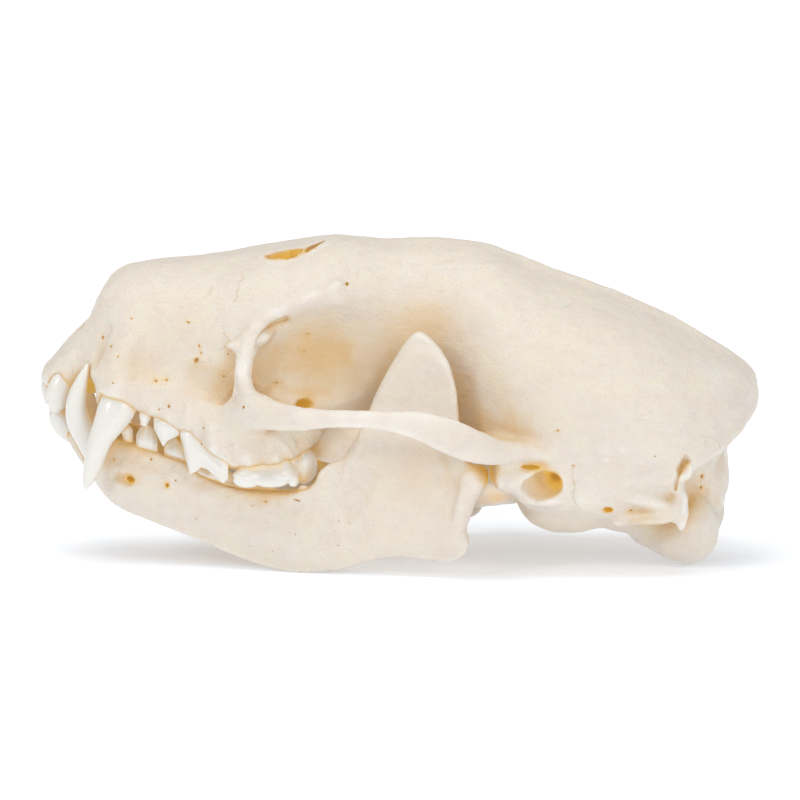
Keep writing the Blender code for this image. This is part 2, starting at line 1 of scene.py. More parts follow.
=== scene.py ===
# %% [markdown]
# A striped skunk's skull, cleaned and whitened, with its lower jaw in place.
# The imported model gives the frame: 3 bones and 34 teeth as plain faceted solids. This lesson
# puts a finely modelled bone or tooth in the place of each one. It keeps the solids' sizes and
# places, so nothing is moved, and it adds what the eye looks for: soft relief, sockets, nerve
# holes, pale edges, ivory bone with amber painted shade in its hollows, and glossy enamel.

# %% The imported model
import json
import math
import time

import bmesh
import bpy
import numpy as np
from mathutils import Matrix, Vector, noise
from mathutils.bvhtree import BVHTree

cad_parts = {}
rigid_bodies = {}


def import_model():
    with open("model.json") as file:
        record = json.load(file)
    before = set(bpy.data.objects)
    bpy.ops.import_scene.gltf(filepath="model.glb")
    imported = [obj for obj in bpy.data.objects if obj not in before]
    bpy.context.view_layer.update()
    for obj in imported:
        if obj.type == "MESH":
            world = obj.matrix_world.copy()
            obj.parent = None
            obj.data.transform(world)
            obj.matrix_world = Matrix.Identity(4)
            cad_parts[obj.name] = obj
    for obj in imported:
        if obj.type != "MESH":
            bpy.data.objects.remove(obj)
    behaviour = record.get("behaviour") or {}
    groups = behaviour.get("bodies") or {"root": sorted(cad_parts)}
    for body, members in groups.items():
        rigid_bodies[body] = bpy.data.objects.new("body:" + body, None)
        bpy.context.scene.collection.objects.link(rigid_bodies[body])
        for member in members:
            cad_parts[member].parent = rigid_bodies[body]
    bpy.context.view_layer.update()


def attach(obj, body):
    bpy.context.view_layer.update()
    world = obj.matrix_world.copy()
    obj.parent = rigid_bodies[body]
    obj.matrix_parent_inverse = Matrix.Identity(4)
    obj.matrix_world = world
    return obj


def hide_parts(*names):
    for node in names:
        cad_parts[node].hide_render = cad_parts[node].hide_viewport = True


started = time.time()


def tell(words, *things):
    """Print some words, the points of the things that they are about, and the seconds gone by."""
    points = sum(len(thing.data.vertices) for thing in things)
    print(words, points, "points,", round(time.time() - started, 1), "s")


for thing in list(bpy.data.objects):
    bpy.data.objects.remove(thing)
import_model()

# %% [markdown]
# Bones are measured here in millimetres from a point between the cheeks, with X toward the back
# of the head, Y toward the animal's right and Z up. The stations below are those of the left
# side, where Y is negative, and the right side repeats them with Y turned over. A small shift
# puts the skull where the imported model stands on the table.

# %% Units and sides
MM = 0.001
TABLE_SHIFT = np.array((0.042, 0.0, 0.386))
SIDES = {"left": 1, "right": -1}


def metres(points):
    """Points of the skull in millimetres, as points of the scene."""
    return (np.asarray(points, float) + TABLE_SHIFT) * MM


print("from the skull's own zero to the table's middle:", TABLE_SHIFT, "mm")

# %% [markdown]
# Most bones are lofts: ovals set one after the other along a line, and skinned. A few stations
# say where a bone widens or bends, and a Catmull-Rom curve through them gives the rest, so that
# no flat bands show. Ends of rods are closed with small rings that make them round.

# %% Lofts
def between(stations, steps=6):
    """More stations between the given ones, on a smooth curve through all of them."""
    rows = np.array(stations, float)
    rows = np.vstack([2 * rows[0] - rows[1], rows, 2 * rows[-1] - rows[-2]])
    made = []
    for a, b, c, d in zip(rows, rows[1:], rows[2:], rows[3:]):
        for t in np.arange(steps) / steps:
            made.append(b + 0.5 * t * (c - a + t * (2 * a - 5 * b + 4 * c - d
                                                    + t * (3 * b - a - 3 * c + d))))
    made.append(rows[-2])
    return np.array(made)


def oval(centre, side, up, across, high, low, sides, power):
    """A ring of points round a centre, with its own reach upward and downward."""
    turn = 2.0 * math.pi * (np.arange(sides) + 0.5) / sides
    out = np.sign(np.cos(turn)) * np.abs(np.cos(turn)) ** (2.0 / power) * across
    rise = np.sign(np.sin(turn)) * np.abs(np.sin(turn)) ** (2.0 / power)
    rise = np.where(rise > 0, rise * high, rise * low)
    return np.asarray(centre) + np.outer(out, side) + np.outer(rise, up)


def skin(rings):
    """One closed body over rings of equal counts, as points and faces."""
    rings = np.array(rings)
    count, sides = rings.shape[:2]
    here = np.arange(count * sides).reshape(count, sides)
    after = np.roll(here, -1, axis=1)
    quads = np.stack([here[:-1], after[:-1], after[1:], here[1:]], axis=-1).reshape(-1, 4)
    return rings.reshape(-1, 3), quads.tolist() + [here[0, ::-1].tolist(), here[-1].tolist()]


def slices(stations, side=1, sides=56, power=2.3, steps=6):
    """Upright slices along X: x, y, z of the widest line, half width, height above, depth below."""
    rows = between(stations, steps)
    rows[:, 1] *= side
    rows[:, 3:] = np.maximum(rows[:, 3:], 0.05)
    return skin([oval(row[:3], (0, 1, 0), (0, 0, 1), *row[3:], sides, power) for row in rows])


# How a rod's end closes: share of its reach beyond the last station, and share of its width there.
ROUND_END = ((0.96, 0.28), (0.80, 0.60), (0.50, 0.866), (0.2, 0.98))
# The way of a rod's height: up for a bar that lies, along X for one that stands.
LYING = (0, 0, 1)
STANDING = (1, 0, 0)
# Where an egg is cut flat, as a share of its radius, too near its pole to be seen.
EGG_CAP = 0.985


def rod(stations, side=1, up=LYING, sides=24, power=2.0, steps=5):
    """A bar with round ends through x, y, z with half width across and half height."""
    rows = between(stations, steps)
    rows[:, 1] *= side
    rows[:, 3:] = np.maximum(rows[:, 3:], 0.04)
    along = np.gradient(rows[:, :3], axis=0)
    along /= np.linalg.norm(along, axis=1)[:, None]
    ends = [[], []]
    for which, end, way in ((0, rows[0], -along[0]), (1, rows[-1], along[-1])):
        for reach, width in ROUND_END:
            ends[which].append(np.concatenate([end[:3] + way * reach * min(end[3], end[4]),
                                               end[3:] * width]))
    rows = np.vstack([ends[0], rows, ends[1][::-1]])
    ways = np.vstack([[along[0]] * len(ROUND_END), along, [along[-1]] * len(ROUND_END)])
    rings = []
    for row, way in zip(rows, ways):
        across = np.cross(way, up)
        across /= np.linalg.norm(across)
        rise = np.cross(across, way)
        rings.append(oval(row[:3], across, rise, row[3], row[4], row[4], sides, power))
    return skin(rings)


def egg(centre, radii, turn=0.0, side=1, sides=28):
    """An egg with radii along X, Y and Z, turned about Y by some degrees."""
    rings = []
    for lift in np.linspace(-EGG_CAP, EGG_CAP, sides // 2):
        wide = math.sqrt(1.0 - lift * lift)
        rings.append(oval((0, 0, lift), (1, 0, 0), (0, 1, 0), wide, wide, wide, sides, 2.0))
    points, faces = skin(rings)
    turned = np.array(Matrix.Rotation(math.radians(turn), 3, "Y"))
    return (points * radii) @ turned.T + np.array(centre) * (1, side, 1), faces


def both(make):
    """What make gives for the left side and for the right side, in one list."""
    return [body for side in SIDES.values() for body in make(side)]


print("an egg has", len(egg((0, 0, 0), (1, 1, 1))[0]), "points before it is melted into a bone")

# %% [markdown]
# A voxel remesh turns overlapping lofts into one skin, and a little smoothing fills the corners
# between them, as growing bone does. Booleans then drill the hollows. The Manifold solver is
# used for them because it stays quick on a mesh of some hundred thousand faces.

# %% From lofts to one bone
def put(name, data):
    """A new object of the scene, for a mesh, a light or a camera."""
    made = bpy.data.objects.new(name, data)
    bpy.context.scene.collection.objects.link(made)
    return made


def solid(name, bodies):
    """An object that holds closed bodies of points in millimetres and faces."""
    points, faces = [], []
    for some, loops in bodies:
        start = sum(len(p) for p in points)
        points.append(some)
        faces += [[start + k for k in loop] for loop in loops]
    mesh = bpy.data.meshes.new(name)
    mesh.from_pydata(metres(np.vstack(points)).tolist(), [], faces)
    bm = bmesh.new()
    bm.from_mesh(mesh)
    bmesh.ops.recalc_face_normals(bm, faces=bm.faces)
    bm.to_mesh(mesh)
    bm.free()
    return put(name, mesh)


def bake(thing):
    """Replace a mesh with what its modifiers make of it."""
    graph = bpy.context.evaluated_depsgraph_get()
    mesh = bpy.data.meshes.new_from_object(thing.evaluated_get(graph))
    old = thing.data
    thing.modifiers.clear()
    thing.data = mesh
    bpy.data.meshes.remove(old)


def grow(thing, grain, smoothing):
    """Melt the bodies of an object into one skin with faces of about the grain, in millimetres."""
    melt = thing.modifiers.new("one skin", "REMESH")
    melt.mode = "VOXEL"
    melt.voxel_size = grain * MM
    soft = thing.modifiers.new("filled corners", "SMOOTH")
    soft.factor = 0.5
    soft.iterations = smoothing
    bake(thing)


def join(thing, bodies):
    """Add more bodies to an object."""
    more = solid("more", bodies)
    bm = bmesh.new()
    bm.from_mesh(thing.data)
    bm.from_mesh(more.data)
    bm.to_mesh(thing.data)
    bm.free()
    bpy.data.objects.remove(more)


def carve(thing, tool):
    """Take the shape of a tool away from an object, and the tool out of the scene."""
    take = thing.modifiers.new("carved", "BOOLEAN")
    take.operation = "DIFFERENCE"
    take.solver = "MANIFOLD"
    take.object = tool
    bake(thing)
    bpy.data.objects.remove(tool)
    tell("  carved " + thing.name + ":", thing)


def drill(thing, bodies, grain=None):
    """Take bodies away from an object; a grain melts them into one tool first."""
    tool = solid("tool", bodies)
    if grain:
        grow(tool, grain, 1)
    carve(thing, tool)


def thin(thing, triangles):
    """Fewer faces where the form is even, so that the fine ones stay where it is not."""
    count = sum(len(p.vertices) - 2 for p in thing.data.polygons)
    fewer = thing.modifiers.new("fewer faces", "DECIMATE")
    fewer.ratio = min(1.0, triangles / count)
    bake(thing)


print("tools for bones:", ", ".join(tool.__name__ for tool in (solid, grow, join, carve, drill, thin)))

# %% [markdown]
# The roof of the skull is three lofts. The snout is short and blunt, with the nose hole cut
# slanting across its front. The braincase is a long egg that is widest over the ears. A low
# crest runs back along the midline to the strong rim at the back of the head, and a rim stands
# out above each eye. The rims go in before the hollows are cut, so that they end up as edges.

# %% Core of the head
SNOUT = (
    (-37.9, 0, 18.7, 2.2, 0.5, 0.8), (-37.5, 0, 18.6, 3.2, 0.9, 1.3), (-36.6, 0, 18.8, 4.3, 1.5, 1.9),
    (-34.4, 0, 19.0, 5.0, 4.1, 2.3), (-32.6, 0, 19.6, 5.5, 6.3, 2.8), (-31.2, 0, 20.0, 6.6, 8.3, 3.2),
    (-29.6, 0, 20.2, 8.0, 9.7, 3.3), (-27.0, 0, 20.0, 8.7, 10.6, 3.8), (-23.0, 0, 19.5, 9.3, 11.6, 4.4),
    (-19.0, 0, 19.0, 10.0, 12.5, 5.2), (-15.5, 0, 19.4, 11.0, 12.75, 6.4),
    (-11.0, 0, 20.4, 11.4, 12.5, 7.6), (-6.8, 0, 22.0, 10.7, 11.4, 9.4), (-4.6, 0, 22.6, 9.8, 10.7, 10.0),
    (-2.6, 0, 23.0, 8.8, 10.2, 9.8), (-0.6, 0, 23.0, 7.9, 10.1, 8.6), (1.6, 0, 22.8, 7.2, 10.2, 7.8),
    (4.4, 0, 22.0, 6.4, 10.3, 7.0),
)
BRAINCASE = (
    (-9.0, 0, 23.6, 6.6, 9.0, 8.0), (-4.0, 0, 23.2, 7.7, 9.8, 11.0), (0.0, 0, 22.2, 8.3, 10.9, 11.5),
    (3.2, 0, 20.8, 9.2, 12.3, 11.6), (6.6, 0, 19.2, 11.2, 13.9, 11.5), (10.5, 0, 17.6, 13.7, 14.5, 10.8),
    (15.0, 0, 16.2, 15.6, 13.7, 10.2), (20.0, 0, 15.4, 16.6, 12.9, 9.4), (25.0, 0, 15.0, 16.6, 11.4, 8.9),
    (29.5, 0, 14.8, 15.4, 9.2, 8.0), (32.6, 0, 15.0, 13.2, 7.3, 5.0), (34.8, 0, 15.9, 10.6, 5.2, 2.9),
    (36.3, 0, 16.8, 7.4, 3.4, 2.0), (37.2, 0, 17.3, 4.0, 1.9, 1.3),
)
MIDLINE_CREST = (
    (-1.0, 0, 32.3, 2.2, 1.0), (5.0, 0, 32.5, 1.6, 1.0), (10.0, 0, 31.6, 1.2, 1.1),
    (15.0, 0, 29.6, 1.0, 1.2), (21.0, 0, 27.5, 0.9, 1.3), (28.0, 0, 24.4, 0.9, 1.4),
    (33.0, 0, 21.2, 1.1, 1.5), (36.0, 0, 18.6, 1.8, 1.7),
)
SKULL_BASE = (
    (2.0, 0, 10.4, 4.2, 3.0, 1.6), (9.0, 0, 8.6, 4.8, 3.0, 1.9), (16.0, 0, 7.2, 6.0, 3.0, 2.6),
    (20.0, 0, 6.4, 6.4, 3.0, 2.6), (24.0, 0, 5.4, 6.4, 3.0, 2.6), (27.6, 0, 4.4, 6.0, 3.0, 2.9),
)
EYE_RIM = (
    (-16.6, -9.5, 23.2, 1.4, 1.3), (-13.4, -9.2, 25.3, 1.3, 1.1), (-10.0, -8.7, 27.1, 1.2, 1.0),
    (-7.0, -8.1, 28.3, 1.1, 0.9), (-5.0, -7.5, 29.2, 1.0, 0.8),
)
BACK_RIM = (
    (36.0, 1.5, 16.8, 1.7, 1.7), (36.0, -2.0, 16.2, 1.8, 1.5), (35.0, -6.3, 14.8, 1.8, 1.3),
    (33.2, -10.2, 13.2, 1.8, 1.15), (31.0, -13.2, 11.8, 1.5, 1.1), (29.6, -14.6, 10.2, 1.2, 1.0),
)
CANINE_ROOT = (
    (-29.6, -8.1, 16.9, 1.9, 2.1), (-29.0, -7.8, 19.4, 2.0, 2.4), (-27.8, -7.2, 22.6, 1.9, 2.2),
    (-26.0, -6.6, 25.2, 1.2, 1.5),
)
CHEEK_SOCKETS = (
    (-31.0, -7.0, 19.8, 1.7, 1.4), (-29.2, -7.9, 19.0, 2.0, 1.7), (-27.0, -8.3, 18.2, 1.95, 2.1),
    (-25.2, -8.6, 17.6, 1.9, 2.3), (-23.6, -8.9, 16.9, 1.9, 2.4), (-21.6, -9.5, 15.9, 1.9, 2.5),
    (-20.0, -10.0, 15.2, 1.9, 2.8), (-18.2, -10.8, 14.1, 2.0, 3.1), (-16.6, -11.2, 13.4, 2.1, 3.3),
    (-13.0, -11.0, 13.0, 2.45, 2.9), (-10.6, -10.6, 13.7, 2.1, 2.4), (-8.8, -9.4, 14.2, 1.6, 1.6),
)
MASTOID = (
    (11.6, -12.8, 10.8, 2.6, 2.6, 2.2), (13.6, -13.0, 9.9, 3.0, 3.4, 2.9),
    (16.0, -13.2, 9.6, 3.1, 3.8, 3.2), (18.4, -13.3, 9.6, 3.0, 3.9, 3.4),
    (20.6, -13.4, 9.9, 2.9, 3.8, 3.6), (22.4, -13.5, 10.3, 2.7, 3.5, 3.3),
    (24.6, -13.5, 10.7, 2.6, 3.1, 2.9), (27.0, -13.1, 10.7, 2.4, 2.6, 2.7),
    (29.0, -12.4, 10.5, 2.2, 2.2, 2.8), (30.4, -11.4, 10.4, 1.6, 1.6, 2.0),
)
# Eggs: centre, radii, turn in degrees.
EAR_SWELLINGS = (
    ((17.6, -8.8, 7.3), (5.2, 4.8, 4.0), 8), ((23.6, -7.2, 6.4), (4.0, 4.0, 3.1), 8),
    ((21.4, -11.6, 8.8), (5.2, 4.2, 3.4), 5),
)
CONDYLE_SWELLINGS = (
    ((27.2, -5.4, 4.3), (3.4, 3.0, 3.1), 0), ((29.4, -6.4, 3.8), (3.4, 3.0, 3.8), 0),
    ((30.4, -6.5, 4.1), (3.6, 3.0, 4.4), -6), ((31.2, -5.6, 8.0), (2.8, 2.4, 4.0), 0),
)
BACK_OF_HEAD = ((31.2, 0, 10.8), (3.2, 7.0, 4.8))
# Size of the faces after each melting, in millimetres. They grow finer as the forms do.
CORE_GRAIN = 0.4
SOCKET_EDGE_GRAIN = 0.36
THIN_BONE_GRAIN = 0.32
FINE_GRAIN = 0.27


def flush_bones(side):
    """Bones that lie in the wall of the core on one side of the head."""
    bars = [rod(EYE_RIM, side), rod(BACK_RIM, side, up=(0.2, 0, 1)), rod(CANINE_ROOT, side, up=STANDING),
            rod(CHEEK_SOCKETS, side, power=2.5), slices(MASTOID, side, power=2.4)]
    return bars + [egg(*swelling, side) for swelling in EAR_SWELLINGS + CONDYLE_SWELLINGS]


core = solid("cranium_bone", [slices(SNOUT, power=2.45), slices(BRAINCASE, power=2.15),
                              rod(MIDLINE_CREST), slices(SKULL_BASE),
                              egg(*BACK_OF_HEAD)] + both(flush_bones))
grow(core, CORE_GRAIN, 16)
tell("core of the head:", core)

# %% [markdown]
# The eye socket and the hollow for the chewing muscles run into one another behind the eye:
# skunks have no bony bar there. One loft is taken out on each side, deepest behind the eye rim
# and running out on the braincase, and the edges are smoothed before the thin bones go in.

# %% Hollow of the eye and the chewing muscles
EYE_HOLLOW = (
    (-15.9, -14.6, 20.6, 1.6, 2.0, 2.4), (-15.0, -15.0, 20.8, 4.2, 3.8, 3.9),
    (-13.2, -15.6, 21.2, 6.4, 5.6, 4.6), (-10.4, -16.0, 21.8, 7.7, 6.4, 5.0),
    (-7.4, -16.0, 22.2, 8.3, 7.1, 6.4), (-4.6, -16.0, 22.4, 8.3, 7.9, 8.4),
    (-2.0, -16.2, 22.0, 8.1, 7.6, 9.5), (1.0, -16.6, 21.2, 7.9, 6.8, 10.0),
    (4.0, -17.4, 20.2, 7.6, 6.0, 9.4), (7.0, -18.6, 19.2, 6.6, 5.0, 7.6),
)
drill(core, both(lambda side: [slices(EYE_HOLLOW, side, power=2.5)]), grain=CORE_GRAIN)
grow(core, SOCKET_EDGE_GRAIN, 16)
tell("with the eye sockets:", core)

# %% [markdown]
# The cheek arch is a thin bar that bows out from the upper jaw to the ear, and a slim strut
# stands between the eye socket and the hole for the nerve of the lip. The ear tube, the spike
# beside the great hole and the two condyles that carried the neck are rods and eggs, each a
# bone of its own in a young animal and grown together in this one.

# %% Bones that stand out
CHEEK_ARCH = (
    (-18.4, -10.4, 15.4, 1.6, 2.2), (-16.2, -12.0, 16.2, 1.9, 2.4), (-14.0, -14.6, 16.8, 1.7, 2.0),
    (-11.6, -17.0, 16.7, 1.2, 1.5), (-8.2, -19.4, 16.75, 0.9, 1.2), (-4.0, -21.2, 17.1, 0.8, 1.0),
    (0.2, -22.0, 17.0, 0.8, 1.15), (3.4, -22.2, 16.5, 0.85, 1.6), (6.2, -21.7, 15.4, 0.95, 2.0),
    (8.8, -20.2, 14.1, 1.3, 1.8), (11.4, -17.6, 13.2, 1.7, 1.3), (14.6, -15.0, 13.0, 1.8, 1.0),
)
STRUT = (
    (-14.3, -10.0, 24.6, 1.3, 1.6), (-15.3, -11.2, 23.2, 1.1, 1.25), (-15.7, -12.5, 21.0, 0.95, 0.95),
    (-15.6, -13.2, 18.8, 1.05, 1.1), (-15.0, -13.4, 17.0, 1.5, 1.8),
)
FRONT_SOCKETS = ((-36.4, -2.6, 18.6, 1.2, 1.0), (-34.8, -3.5, 18.7, 1.3, 1.1),
                 (-32.8, -3.9, 18.6, 1.3, 1.1))
STRUT_KNOB = ((-16.9, -11.2, 23.3), (1.3, 0.8, 0.42), -8)
# Smaller bars: whether each lies or stands, then its stations.
SMALL_BARS = (
    # Bone that fills the corner under the front of the arch.
    (LYING, ((-15.4, -12.2, 13.8, 0.7, 0.8), (-13.0, -12.9, 14.0, 0.9, 1.1),
             (-10.6, -12.6, 14.6, 0.7, 0.8))),
    # Side wall of the hind palate, the thin blade that hangs behind it, and its hooked end.
    (LYING, ((-8.0, -7.0, 13.0, 1.6, 2.4), (-3.0, -4.6, 11.6, 1.0, 2.6), (2.0, -4.0, 10.0, 0.8, 2.6),
             (6.5, -4.2, 8.2, 0.6, 1.9), (9.6, -4.6, 6.8, 0.5, 0.9))),
    (LYING, ((13.4, -5.6, 7.2, 1.1, 1.2), (11.8, -5.2, 6.5, 0.6, 0.6), (9.8, -5.0, 5.9, 0.42, 0.42),
             (8.0, -4.9, 5.5, 0.34, 0.34))),
    (LYING, ((12.6, -4.4, 7.4, 0.7, 0.7), (10.6, -4.2, 6.9, 0.4, 0.4), (8.6, -4.0, 6.7, 0.34, 0.34))),
    # Roof of the jaw joint, and the lip that hooks down behind the jaw's roller.
    (LYING, ((10.9, -10.6, 13.4, 1.9, 1.2), (10.9, -15.0, 13.4, 2.0, 1.0), (10.4, -19.0, 13.5, 1.5, 0.9))),
    (LYING, ((11.6, -12.4, 10.8, 1.3, 1.9), (11.7, -14.8, 10.5, 1.3, 2.0), (11.6, -16.0, 10.8, 1.2, 1.9))),
    (LYING, ((12.0, -15.0, 10.6, 2.1, 2.0), (13.4, -14.9, 10.3, 2.1, 2.1), (15.0, -14.6, 9.8, 2.1, 2.3))),
    # The ridge above the ear hole that runs back from the cheek arch.
    (LYING, ((10.2, -18.4, 13.9, 1.1, 0.8), (13.8, -16.0, 13.0, 1.1, 0.7), (17.4, -15.1, 12.8, 1.0, 0.6),
             (21.0, -15.3, 13.0, 0.7, 0.5))),
    # The spike beside the great hole, the shelves that run back to it, and the ring round the hole.
    (STANDING, ((28.6, -12.6, 10.8, 1.8, 1.3), (29.8, -12.8, 8.6, 1.3, 0.8), (30.3, -12.6, 6.4, 0.85, 0.55),
                (30.25, -12.3, 5.1, 0.35, 0.3))),
    (LYING, ((19.6, -14.0, 7.4, 1.2, 1.0), (22.0, -14.3, 7.8, 1.2, 0.8), (24.4, -14.2, 8.2, 1.3, 0.8),
             (27.0, -13.6, 7.7, 1.5, 0.9), (29.0, -12.8, 6.6, 1.1, 0.8), (30.2, -12.4, 5.4, 0.4, 0.4))),
    (LYING, ((23.2, -12.4, 5.2, 1.2, 0.5), (25.8, -12.8, 5.35, 1.2, 0.5), (27.9, -12.8, 5.5, 1.1, 0.5),
             (29.0, -12.6, 5.5, 0.5, 0.25))),
    (LYING, ((24.0, -12.4, 6.6, 1.1, 0.9), (28.4, -12.2, 6.5, 1.0, 0.9))),
    (STANDING, ((33.0, 0.5, 11.6, 1.3, 1.2), (33.1, -3.0, 11.0, 1.3, 1.2), (33.1, -5.0, 9.0, 1.3, 1.3),
                (32.9, -5.9, 6.4, 1.3, 1.4))),
)


def standing_bones(side):
    """The bones that stand out from the core on one side of the head."""
    bones = [rod(CHEEK_ARCH, side), rod(STRUT, side, up=STANDING), rod(FRONT_SOCKETS, side),
             egg(*STRUT_KNOB, side)]
    return bones + [rod(stations, side, up) for up, stations in SMALL_BARS]


join(core, both(standing_bones))
grow(core, THIN_BONE_GRAIN, 6)
tell("with the bones of the sides:", core)

# %% [markdown]
# Teeth are made before their sockets, because each socket is cut with the tooth that sits in
# it, a hair larger. Single-cusped teeth are rods from the root to the tip. Cheek teeth are
# lofts along the jaw whose lower edge rises and falls as the cusps do, thick at the neck and
# thin at the edge. A small egg adds an inner cusp where the tooth has one.

# %% Tooth shapes
# Pegs, from root to tip: x, y, z, half width across the jaw, half length along it.
PEGS = {
    "upper_incisor_1": ((-35.4, -0.8, 20.8, 0.35, 0.5), (-36.5, -0.8, 18.6, 0.5, 0.75),
                        (-37.05, -0.8, 17.2, 0.56, 0.65), (-37.15, -0.8, 16.1, 0.5, 0.3)),
    "upper_incisor_2": ((-35.2, -2.2, 20.8, 0.35, 0.5), (-36.2, -2.25, 18.6, 0.5, 0.75),
                        (-36.75, -2.3, 17.2, 0.6, 0.7), (-36.85, -2.35, 16.0, 0.5, 0.32)),
    "upper_incisor_3": ((-34.3, -3.4, 21.0, 0.5, 0.6), (-35.0, -3.7, 19.0, 0.9, 1.1),
                        (-35.4, -3.95, 17.8, 1.0, 1.28), (-35.65, -4.0, 16.7, 0.98, 1.28),
                        (-35.8, -4.0, 15.9, 0.8, 1.0), (-35.9, -4.0, 15.4, 0.5, 0.6)),
    "upper_canine": ((-26.4, -6.8, 22.8, 0.6, 0.7), (-27.4, -7.5, 20.2, 1.1, 1.4),
                     (-28.7, -8.0, 17.9, 1.3, 1.7), (-29.2, -8.5, 16.3, 1.45, 2.0),
                     (-30.1, -8.9, 14.5, 1.3, 1.6), (-30.8, -9.1, 13.2, 1.13, 1.3),
                     (-31.25, -9.2, 11.85, 1.0, 1.12), (-31.7, -9.3, 10.3, 0.84, 0.94),
                     (-32.2, -9.35, 8.7, 0.56, 0.6), (-32.4, -9.35, 8.05, 0.32, 0.34)),
    "upper_premolar_2": ((-26.0, -8.4, 17.6, 0.35, 0.35), (-26.2, -8.5, 16.1, 0.5, 0.55),
                         (-26.25, -8.5, 15.3, 0.55, 0.62), (-26.3, -8.5, 14.65, 0.32, 0.36)),
    "lower_incisor_1": ((-33.9, -0.75, 12.0, 0.3, 0.45), (-35.4, -0.75, 13.8, 0.42, 0.6),
                        (-36.5, -0.75, 15.5, 0.45, 0.35)),
    "lower_incisor_2": ((-33.7, -1.9, 12.0, 0.3, 0.45), (-35.2, -1.95, 13.7, 0.45, 0.62),
                        (-36.4, -2.0, 15.4, 0.48, 0.38)),
    "lower_incisor_3": ((-33.4, -3.0, 11.8, 0.45, 0.6), (-34.7, -3.3, 13.0, 0.75, 1.0),
                        (-35.5, -3.5, 14.1, 0.85, 1.05), (-36.0, -3.6, 14.9, 0.75, 0.8),
                        (-36.2, -3.6, 15.3, 0.45, 0.45)),
    "lower_canine": ((-30.6, -4.6, 8.6, 0.7, 0.9), (-31.6, -5.1, 10.8, 1.1, 1.3),
                     (-32.4, -5.5, 12.7, 1.2, 1.4), (-33.35, -5.9, 14.4, 1.15, 1.3),
                     (-33.65, -6.3, 16.0, 1.0, 1.08), (-33.4, -6.6, 17.6, 0.82, 0.9),
                     (-32.95, -6.75, 19.0, 0.6, 0.62), (-32.6, -6.75, 20.0, 0.36, 0.36),
                     (-32.45, -6.7, 20.5, 0.18, 0.18)),
    "lower_premolar_2": ((-28.0, -6.1, 11.0, 0.35, 0.35), (-28.2, -6.2, 12.9, 0.5, 0.55),
                         (-28.3, -6.3, 13.6, 0.52, 0.62), (-28.4, -6.3, 14.1, 0.28, 0.32)),
    "lower_molar_2": ((-9.4, -11.5, 6.6, 0.5, 0.5), (-9.5, -11.5, 7.8, 0.7, 0.8),
                      (-9.5, -11.5, 8.0, 0.8, 0.85), (-9.5, -11.5, 8.2, 0.5, 0.55)),
}
# Blades: y at the front and back, root level, then x, gum level, edge level, half width.
BLADES = {
    "upper_premolar_3": (-9.1, -9.8, 16.6, (
        (-25.3, 14.8, 14.1, 0.35), (-24.9, 15.2, 13.4, 0.7), (-24.3, 15.3, 12.3, 0.78),
        (-23.8, 15.1, 12.95, 0.82), (-23.1, 14.9, 13.35, 0.85), (-22.55, 14.6, 13.6, 0.6))),
    "upper_carnassial": (-10.3, -12.2, 15.0, (
        (-22.45, 14.0, 13.3, 0.3), (-22.2, 14.3, 12.6, 0.7), (-21.85, 14.1, 11.0, 0.95),
        (-21.4, 13.7, 9.65, 1.05), (-20.9, 13.1, 9.85, 1.0), (-20.2, 12.5, 10.45, 0.9),
        (-19.6, 12.0, 10.25, 0.88), (-18.8, 11.4, 9.6, 0.9), (-17.9, 10.8, 8.85, 0.75),
        (-17.3, 10.3, 9.4, 0.35))),
    "lower_premolar_3": (-6.9, -7.3, 10.6, (
        (-27.3, 12.4, 13.2, 0.3), (-26.9, 12.2, 14.0, 0.65), (-26.2, 12.0, 14.5, 0.75),
        (-25.5, 11.9, 13.9, 0.72), (-25.0, 11.9, 12.9, 0.4))),
    "lower_premolar_4": (-7.5, -8.1, 9.4, (
        (-24.3, 11.4, 12.1, 0.4), (-23.8, 11.2, 12.7, 0.68), (-23.1, 11.0, 13.15, 0.75),
        (-22.4, 10.8, 12.3, 0.7), (-21.8, 10.6, 11.4, 0.4))),
    "lower_carnassial": (-8.7, -10.3, 6.2, (
        (-21.3, 9.6, 10.4, 0.4), (-20.6, 9.3, 11.0, 0.8), (-19.6, 9.0, 10.2, 0.9), (-18.4, 8.6, 10.9, 0.95),
        (-17.6, 8.2, 9.1, 0.9), (-14.6, 7.4, 8.3, 0.8), (-12.8, 7.3, 8.25, 0.75), (-11.9, 7.2, 8.0, 0.6),
        (-11.3, 7.1, 7.5, 0.3))),
}
# Share of a blade's width, from the neck at 0 to the cutting edge at 1.
BLADE_PROFILE = ((0.0, 0.76), (0.12, 0.95), (0.3, 1.0), (0.5, 0.86), (0.7, 0.6), (0.88, 0.34), (1.0, 0.16))
# Inner cusps: centre and radii.
INNER_CUSPS = {
    "upper_premolar_3": ((-23.3, -9.3, 14.2), (0.7, 0.9, 0.8)),
    "upper_carnassial": ((-21.3, -9.2, 12.6), (1.0, 1.3, 1.3)),
    "lower_carnassial": ((-17.6, -9.2, 8.9), (0.8, 0.8, 0.9)),
}
